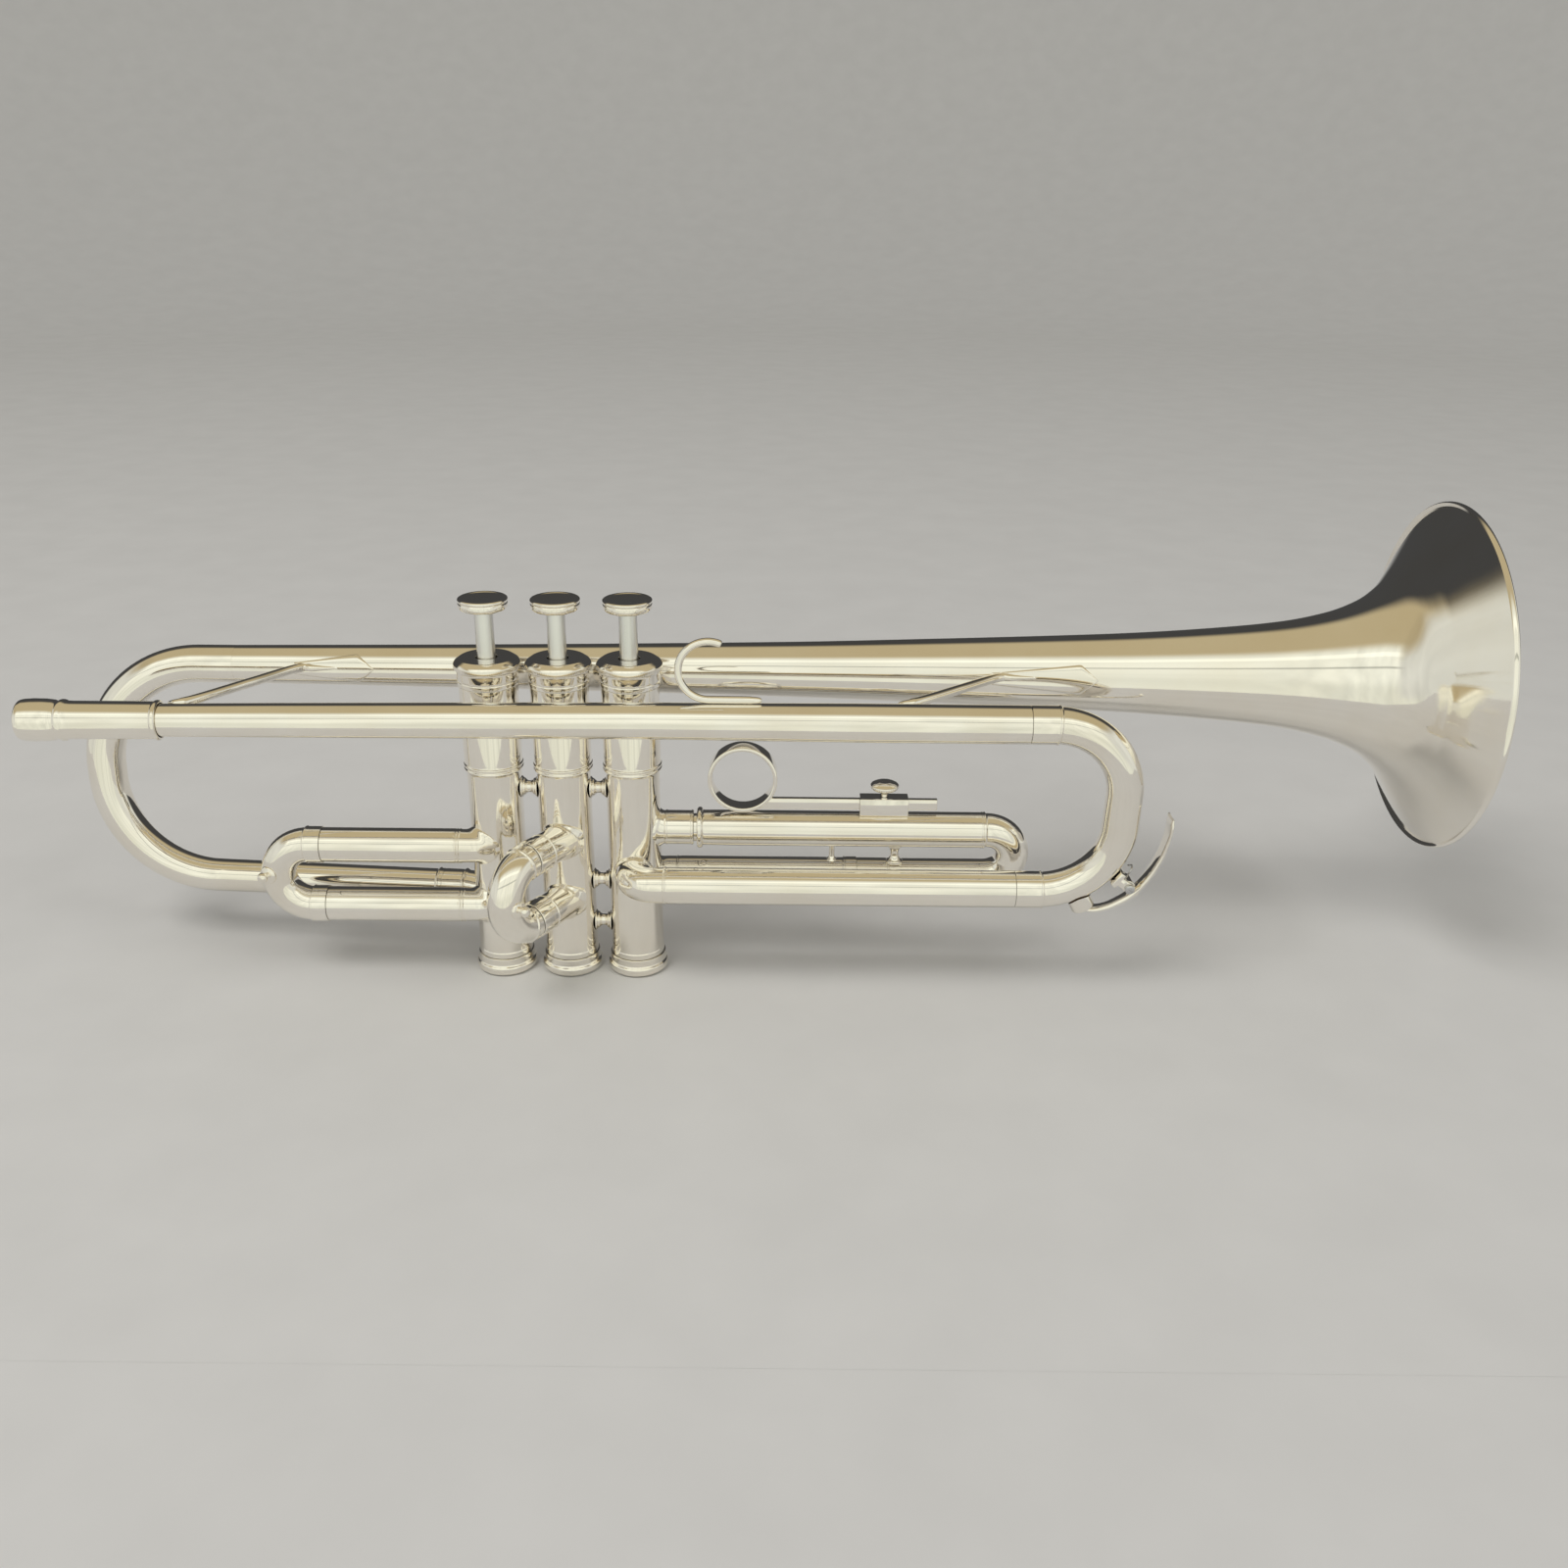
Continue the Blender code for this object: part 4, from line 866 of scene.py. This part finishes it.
box = rounded_box((0.1044, -0.0030, high_z + 0.0064 + 0.0001), (0.1215, 0.0030, -0.0368), 0.00022)
box = boolean(box, rounded_box((0.1000, -0.0013, -0.0419), (0.1260, 0.0013, -0.0373), 0.0001))
drill = turned_mesh(rod(0.0014, 0.01), (SCREW_X, 0, RING_BAR_Z), sides=32, reach=0)
show(boolean(box, drill), "ring_box")

band_radius = 0.0122
outline = [(band_radius, 0.0035), (band_radius, -0.0035), (band_radius - 0.0014, -0.0035),
           (band_radius - 0.0014, 0.0035)]
band = turned_mesh(outline, (RING_CENTRE[0], 0, RING_CENTRE[1]), Y_AXIS, sides=128, hollow=True, reach=0.00045)
bar = bpy.data.meshes.new("bar")
low_edge = RING_BAR_Z - 0.0020
high_edge = RING_BAR_Z + 0.0020
root = RING_CENTRE[0] + 0.0010
profile = [(0.1318, high_edge), (0.1318, low_edge)]
for i in range(9):
    share = i / 8
    at = 0.0780 + (root - 0.0780) * share
    fall = (RING_CENTRE[1] - band_radius + 0.0003 - low_edge) * (share * share * (3 - 2 * share))
    profile.append((at, low_edge + fall))
profile.append((root, RING_CENTRE[1] - band_radius + 0.0008))
for i in range(7):
    turn = radians(-84 + 7.5 * i)
    profile.append((RING_CENTRE[0] + (band_radius - 0.0007) * cos(turn),
                    RING_CENTRE[1] + (band_radius - 0.0007) * sin(turn)))
profile.append((RING_CENTRE[0] + 0.0108, high_edge))
cage = bmesh.new()
flat = cage.faces.new([cage.verts.new((px, -0.0010, pz)) for px, pz in profile])
made = bmesh.ops.extrude_face_region(cage, geom=[flat])
bmesh.ops.translate(cage, vec=(0, 0.0020, 0), verts=[v for v in made["geom"] if isinstance(v, bmesh.types.BMVert)])
bmesh.ops.recalc_face_normals(cage, faces=cage.faces)
edges = [e for e in cage.edges if e.calc_face_angle(0) > radians(50)]
bmesh.ops.bevel(cage, geom=edges, offset=0.00022, segments=3, affect="EDGES", profile=0.5)
cage.to_mesh(bar)
cage.free()
show(boolean(bar, band, "UNION"), "finger_ring")

outline = mm(
    (0, -31), (2, -31.05), (3.6, -31.4), (4.7, -31.9), (5.1, -32.4), (5, -33), (4.4, -33.7), (3.2, -34.3),
    (2, -34.8), (1.2, -35.4), (1.1, -36), (1.1, -37.3), (0, -37.3))
screw = turned_mesh(outline, (SCREW_X, 0, 0), knurl=(-0.0331, -0.0322, 40, 0.00012))
show(screw, "thumb_screw")

# ------------ hook and braces

WIRE = 0.00125
curl = 0.0099
seat_z = 0.0063 + WIRE + 0.0001
centre = (0.0526, seat_z + curl)
points = [(0.0700, LEAD_Y, seat_z - 0.0001), (0.0640, LEAD_Y, seat_z), (0.0580, LEAD_Y, seat_z)]
points += arc(centre, curl, radians(-90), radians(-295), lambda a, b: (a, LEAD_Y, b), 4)
track = Track(points)
outline = [(0.0, 0.0), (0.0006, 0.0001), (0.0010, 0.0010), (WIRE, 0.0040), (WIRE, track.length - 0.0006),
           (0.0010, track.length), (0.0, track.length)]
show(tube_mesh(track, outline, sides=32, hollow=False, reach=0.0004), "finger_hook")


def bell_side(at, turn, clear):
    """A point off the bell's skin; turn is measured up from the side that faces the leadpipe."""
    reach = bell_radius(at) + clear
    return Vector((at, BELL_Y - reach * cos(turn), BELL_Z + reach * sin(turn)))


def brace(node, lead_x, lead_radius, bell_x, foot_x):
    """A rod from the leadpipe that opens into a leaf lying on the bell's tube."""
    wire = 0.00165
    slant = radians(38)
    side = lead_y(lead_x) + (lead_radius + wire) * cos(slant)
    rise = (lead_radius + wire) * sin(slant)
    lift = radians(9)
    shoulder = Vector((lead_x, side + 0.0003, rise))
    points = [
        (lead_x - 0.0060, side - 0.0012, rise - 0.0002), shoulder,
        shoulder.lerp(bell_side(bell_x, lift, wire), 0.5), bell_side(bell_x, lift, wire * 0.9),
        bell_side(bell_x + 0.0060, lift, wire * 0.45), bell_side(bell_x + 0.0150, lift, 0.0001),
    ]
    track = Track(smooth_path(points))
    outline = [(0.0, 0.0), (0.0006, 0.0001), (wire * 0.75, 0.0020), (wire, 0.0050), (wire, track.length - 0.0150),
               (wire * 0.85, track.length - 0.0110), (wire * 0.5, track.length - 0.0060),
               (0.0004, track.length - 0.0010), (0.0, track.length)]
    wire_rod = tube_mesh(track, outline, sides=32, hollow=False, reach=0.0004)

    start, end = bell_x - 0.0015, foot_x
    tip = end - 0.0062
    rows, columns = 44, 18
    rings = []
    for i in range(rows + 1):
        at = start + (end - start) * i / rows
        share = (at - start) / (tip - start)
        half = 0.0022 + 0.0034 * min(1.0, share) ** 1.1 if share <= 1 else 0.0056 * (end - at) / (end - tip)
        half = max(half, 0.00005)
        top, low = [], []
        for j in range(columns + 1):
            across_share = 2 * j / columns - 1
            turn = lift - radians(3) + across_share * half / bell_radius(at)
            edge = max(0.0, 1 - abs(across_share) ** 6) ** 0.5
            nose = min(1.0, (end - at) / 0.0009) ** 0.5 * min(1.0, 0.15 + (at - start) / 0.0010)
            top.append(bell_side(at, turn, 0.00004 + 0.00052 * edge * nose))
            low.append(bell_side(at, turn, -0.00010))
        rings.append(top + low[::-1])
    ends = [[sum(ring, Vector()) / len(ring)] for ring in (rings[0], rings[-1])]
    leaf = skin([ends[0]] + rings + [ends[1]])
    show(boolean(wire_rod, leaf, "UNION", 40), node)


brace("rear_bell_brace", -0.1190, 0.0055, -0.0960, -0.0690)
brace("front_bell_brace", 0.1210, 0.0065, 0.1520, 0.1880)

length = VALVE_PITCH - 2 * CASING_RADIUS + 0.0004
outline = [
    (0.0, length), (0.0040, length), (0.0037, length - 0.0005), (0.0031, length - 0.0010), (0.0030, length - 0.0014),
    (0.0026, length - 0.0017), (0.0021, length * 0.5 + 0.0006), (0.0021, length * 0.5 - 0.0006), (0.0026, 0.0017),
    (0.0030, 0.0014), (0.0031, 0.0010), (0.0037, 0.0005), (0.0040, 0.0), (0.0, 0.0),
]
SPOOLS = (("upper_casing_brace_12", 1, -0.0342), ("lower_casing_brace_12", 1, -0.0869),
          ("upper_casing_brace_23", 2, -0.0342), ("lower_casing_brace_23", 2, -0.0869),
          ("middle_casing_brace_23", 2, -0.0701))
for node, left, z in SPOOLS:
    origin = (valve_x(left) + CASING_RADIUS - 0.0002, 0, z)
    show(turned_mesh(outline, origin, X_AXIS, sides=48), node)

# ------------ water key

corner = Vector((CORNER, 0, SLIDE_LOW[1] + CROOK_BEND))
y = SLIDE_LOW[0] - 0.0010
pivot = Vector((PIVOT[0], y, PIVOT[1]))
aim = Vector((pivot.x - corner.x, 0, pivot.z - corner.z)).normalized()
foot = corner + aim * (CROOK_BEND + TUNING_TUBE + 0.0003 + 0.0004) + Y_AXIS * y
side = Vector((aim.z, 0, -aim.x))
tilt = Matrix.Translation(foot) @ Matrix((side, Y_AXIS, aim)).transposed().to_4x4()
base = rounded_box((-0.0028, -0.0048, -0.0009), (0.0028, 0.0048, 0.0009), 0.00025, matrix=tilt)
reach = (pivot - foot).length + 0.0017
for place in (-0.0042, 0.0042):
    ear = rounded_box((-0.0016, place - 0.0006, 0.0002), (0.0016, place + 0.0006, reach), 0.00055, matrix=tilt)
    base = boolean(base, ear, "UNION")
drill = turned_mesh(rod(0.0010, 0.016), pivot - Y_AXIS * 0.008, Y_AXIS, sides=32, reach=0)
show(boolean(base, drill), "water_key_saddle")

outline = mm((0, 11.2), (0.8, 11.2), (0.8, 1.2), (1.7, 1.1), (1.7, 0.3), (1.2, 0), (0, 0))
screw = turned_mesh(outline, pivot - Y_AXIS * 0.0061, Y_AXIS, sides=48, reach=0.0002)
slot = rounded_box((-0.0025, -0.0066, -0.00022), (0.0025, -0.0058, 0.00022), 0.00005,
                   matrix=Matrix.Translation(pivot) @ Matrix.Rotation(0.6, 4, "Y"))
show(boolean(screw, slot), "water_key_screw", STEEL)

points = []
coil_steps = 24
for i in range(int(3.5 * coil_steps) + 1):
    turn = 2 * pi * i / coil_steps
    points.append(pivot + Vector((0.00165 * cos(turn), -0.0034 + 0.00042 * i / coil_steps, 0.00165 * sin(turn))))
end = points[-1]
heel = pivot - aim * 0.0030 - side * 0.0048
tail = [end + (heel - end) * 0.35, heel + Vector((0, -0.0022, 0)), heel + Vector((0.0001, 0.0, 0.0)) - side * 0.0012,
        heel + Vector((0, 0.0022, 0))]
track = Track(points + smooth_path(tail, 6))
wire = rod(0.00028, track.length)
show(tube_mesh(track, wire, sides=12, hollow=False, reach=0.0001), "water_key_spring", STEEL)

away = Vector((cos(CORK_ANGLE), 0, sin(CORK_ANGLE)))
seat = corner + away * (CROOK_BEND + TUNING_TUBE + 0.0003 + 0.0006) + Y_AXIS * y
show(turned_mesh(mm((0, 1.8), (3.6, 1.8), (3.6, -0.4), (0, -0.4)), seat, away, sides=64), "water_key_cork", CORK)
cup_at = seat + away * 0.0018
outline = mm((0, 1.4), (3, 1.3), (4, 0.8), (4.2, 0.2), (4.2, -6), (3.8, -6), (3.8, 0), (0, 0.1))
lever = turned_mesh(outline, cup_at, away, sides=64)
bow_path = Track(arc((CORNER, CROOK_BEND - HEIGHT), CROOK_BEND, radians(-88), radians(-38), slide_place))
lever = boolean(lever, tube_mesh(bow_path, rod(0.0067, bow_path.length), hollow=False, reach=0.0))
strap = mm((191, -69.3), (194.3, -67.6), (197.6, -65.4), (200.3, -62.7), (202.6, -59.7), (204.7, -56.2), (206.4, -52.5),
           (207.8, -48.8), (208.7, -45), (209.4, -41.5), (209.7, -38.5), (209.7, -35.2))
strap = [Vector((sx, y, sz)) for sx, sz in strap]
cup_line = [cup_at + away * 0.0006, cup_at + away * 0.0010 + (strap[0] - cup_at) * 0.5]
track = Track(smooth_path(cup_line + strap, 5))
total = track.length
arm_rings = []
for k in range(91):
    s = total * k / 90
    at, heading = track.place(s)
    normal = heading.cross(Y_AXIS).normalized()
    share = s / total
    wide = interpolate(((0.0, 0.0030), (0.15, 0.0022), (0.35, 0.0026), (0.55, 0.0030), (0.80, 0.0036), (0.93, 0.0040),
                        (1.0, 0.0036)), share)
    thick = interpolate(((0.0, 0.0007), (0.35, 0.0010), (0.55, 0.0009), (0.9, 0.00065), (0.96, 0.0008), (1.0, 0.0005)),
                        share)
    ring = []
    for i in range(28):
        turn = 2 * pi * i / 28
        cos_t, sin_t = cos(turn), sin(turn)
        across_y = copysign(abs(cos_t) ** 0.55, cos_t) * wide
        bow = -0.0004 * (across_y / wide) ** 2
        ring.append(at + Y_AXIS * across_y + normal * (copysign(abs(sin_t) ** 0.8, sin_t) * thick + bow))
    arm_rings.append(ring)
arm = skin([[track.place(0)[0]]] + arm_rings + [[track.place(total)[0]]])
lever = boolean(lever, arm, "UNION")
outline = mm((2.1, 6.6), (2.1, 0), (0.9, 0), (0.9, 6.6))
boss = turned_mesh(outline, pivot - Y_AXIS * 0.0033, Y_AXIS, sides=48, hollow=True, reach=0.0002)
lean = Vector((0.62, 0, -0.78)).to_track_quat("Z", "Y").to_matrix().to_4x4()
web = rounded_box((-0.0011, -0.0012, 0.0016), (0.0011, 0.0012, 0.0060), 0.0003, matrix=Matrix.Translation(pivot) @ lean)
lever = boolean(boolean(lever, boss, "UNION"), web, "UNION", 40)
show(lever, "water_key_lever")

# ------------ floor, light and camera

FLOOR = CAD_BOX[0].z - 0.0003
UNDER = FLOOR - 0.00005
STAGE_X = 0.07
STAGE_SIDES = 96
SWEEP_START, SWEEP_RADIUS, SWEEP_TOP = 2.2, 1.2, 6.0
TABLE_X, TABLE_Y = (-0.62, 0.78), (-0.20, 0.55)


def stage_mesh(name, rows, closed, look):
    """A sheet through rows of points, closed round into a bowl if asked."""
    size = len(rows[0])
    points = [tuple(p) for row in rows for p in row]
    faces = []
    for i in range(len(rows) - 1):
        for j in range(size if closed else size - 1):
            k = (j + 1) % size
            faces.append((i * size + j, i * size + k, (i + 1) * size + k, (i + 1) * size + j))
    mesh = bpy.data.meshes.new(name)
    mesh.from_pydata(points, [], faces)
    mesh.shade_smooth()
    mesh.materials.append(look)
    sheet = add_object(name, mesh)
    return sheet


def ring_row(radius, height):
    """Points of a level circle round the trumpet."""
    turns = [2 * pi * i / STAGE_SIDES for i in range(STAGE_SIDES)]
    return [(STAGE_X + radius * cos(t), radius * sin(t), height) for t in turns]


paper, tree, shader = new_material("studio_paper")
grain = tree.ramp(tree.noise(30.0, detail=4.0), [(0.3, (0.74, 0.735, 0.725)), (0.7, (0.77, 0.765, 0.755))])
tree.fill(shader, Base_Color=grain, Roughness=0.9)

# the metal mirrors only the floor close to the trumpet; beyond it the world's tones take over
stage_mesh("studio_table", [[(at, y, FLOOR) for at in TABLE_X] for y in TABLE_Y], False, paper)
floor = stage_mesh("studio_floor", [ring_row(r, UNDER) for r in (0.01, 0.7, 1.4, SWEEP_START)], True, paper)
floor.visible_glossy = False
sweep = [(SWEEP_START + SWEEP_RADIUS * sin(turn), UNDER + SWEEP_RADIUS * (1 - cos(turn)))
         for turn in (pi / 2 * i / 24 for i in range(25))]
sweep.append((SWEEP_START + SWEEP_RADIUS, SWEEP_TOP))
backdrop = stage_mesh("studio_backdrop", [ring_row(r, h) for r, h in sweep], True, paper)
backdrop.visible_glossy = False
backdrop.visible_diffuse = False
backdrop.visible_shadow = False


def area_light(name, place, size, power, colour):
    """A soft rectangular light aimed at the trumpet, unseen in the metal."""
    data = bpy.data.lights.new(name, "AREA")
    data.shape = "RECTANGLE"
    data.size, data.size_y = size
    data.energy = power
    data.color = colour
    light = add_object(name, data)
    light.location = place
    light.rotation_euler = (Vector((0.05, 0, 0)) - Vector(place)).to_track_quat("-Z", "Y").to_euler()
    light.visible_glossy = False


area_light("key", (-0.8, -0.9, 1.9), (1.1, 0.9), 17, (1.0, 0.98, 0.94))
area_light("fill", (1.5, -1.0, 1.6), (0.9, 0.9), 6, (1.0, 0.99, 0.97))

world = bpy.data.worlds.new("studio")
bpy.context.scene.world = world
sky = Tree(world)

DARK = (0.055, 0.055, 0.055)
WINDOW = (0.93, 0.94, 0.82)
CEILING = (0.50, 0.42, 0.26)
APRON = (0.80, 0.81, 0.70)
GROUND = (0.43, 0.425, 0.41)
SIDE_LOW = (0.74, 0.745, 0.68)

DIFFUSE = (0.36, 0.355, 0.345)
PLAIN = (0.62, 0.62, 0.61)


def step_angle(angle, low, high):
    return sky.step(angle, radians(low), radians(high))


def band_angle(angle, centre, half, edge):
    return sky.band(angle, radians(centre), radians(half), radians(edge))


place = sky.add("ShaderNodeTexCoord").outputs["Generated"]
sky_x, sky_y, sky_z = sky.add("ShaderNodeSeparateXYZ", Vector=place).outputs
rise = sky.maths("ARCTAN2", sky_z, sky.maths("MULTIPLY", sky_y, -1.0))

# in front: folds of a pale curtain, a window bar and a bright gap between the curtains
place = sky.add("ShaderNodeCombineXYZ", X=sky.maths("MULTIPLY", sky_x, 9.0), Y=sky.maths("MULTIPLY", sky_z, 1.3))
fold = sky.add("ShaderNodeTexNoise", Vector=place.outputs["Vector"], Scale=1.0, Detail=3.0).outputs["Fac"]
bar = sky.maths("MULTIPLY", band_angle(rise, 31, 0.8, 1.5), 0.45)
pleat = sky.maths("MULTIPLY", sky.spread(fold, 0.84, 1.08), sky.maths("SUBTRACT", 1.0, bar))
pleat = sky.maths("ADD", pleat, sky.maths("MULTIPLY", band_angle(rise, 52, 2.0, 3.0), 0.22))
wall = sky.scale(sky.mix(step_angle(rise, -6, 14), APRON, WINDOW), pleat)
wall = sky.mix(step_angle(rise, 56, 74), wall, CEILING)
room = sky.mix(step_angle(rise, -58, -52), GROUND, wall)

# behind: a dark wall between the floor and the ceiling
back_rise = sky.maths("ARCTAN2", sky_z, sky.maths("ABSOLUTE", sky_y))
rear = sky.mix(step_angle(back_rise, 42, 60), DARK, CEILING)
rear = sky.mix(step_angle(back_rise, -14, -4), GROUND, rear)
room = sky.mix(sky.step(sky_y, -0.01, 0.01), room, rear)

# at both sides: pale folds below the ceiling
side = sky.mix(sky.step(sky_z, 0.42, 0.62), SIDE_LOW, CEILING)
side = sky.scale(side, sky.spread(fold, 0.80, 1.06))
side_on = sky.maths("MULTIPLY", sky.step(sky.maths("ABSOLUTE", sky_x), 0.66, 0.80), sky.step(sky_z, -0.30, -0.10))
side_on = sky.maths("MULTIPLY", side_on, sky.maths("SUBTRACT", 1.0, sky.step(sky_y, 0.20, 0.40)))
room = sky.mix(side_on, room, side)

ray = sky.add("ShaderNodeLightPath").outputs
lit = sky.mix(ray["Is Diffuse Ray"], room, DIFFUSE)
sky.fill(sky.nodes["Background"], Color=sky.mix(ray["Is Camera Ray"], lit, PLAIN), Strength=1.0)

LENS, SENSOR = 34.26, 36.0
CAMERA_PLACE = (0.07751, -0.4848, 0.17197)
CAMERA_PITCH, CAMERA_ROLL = radians(67.144), radians(0.587)
camera_data = bpy.data.cameras.new("camera")
camera_data.lens = LENS
camera_data.sensor_width = SENSOR
camera = add_object("camera", camera_data)
camera.matrix_world = (Matrix.Translation(CAMERA_PLACE) @ Matrix.Rotation(CAMERA_PITCH, 4, "X")
                       @ Matrix.Rotation(CAMERA_ROLL, 4, "Z"))
bpy.context.scene.camera = camera
bpy.context.scene.view_settings.view_transform = "Standard"
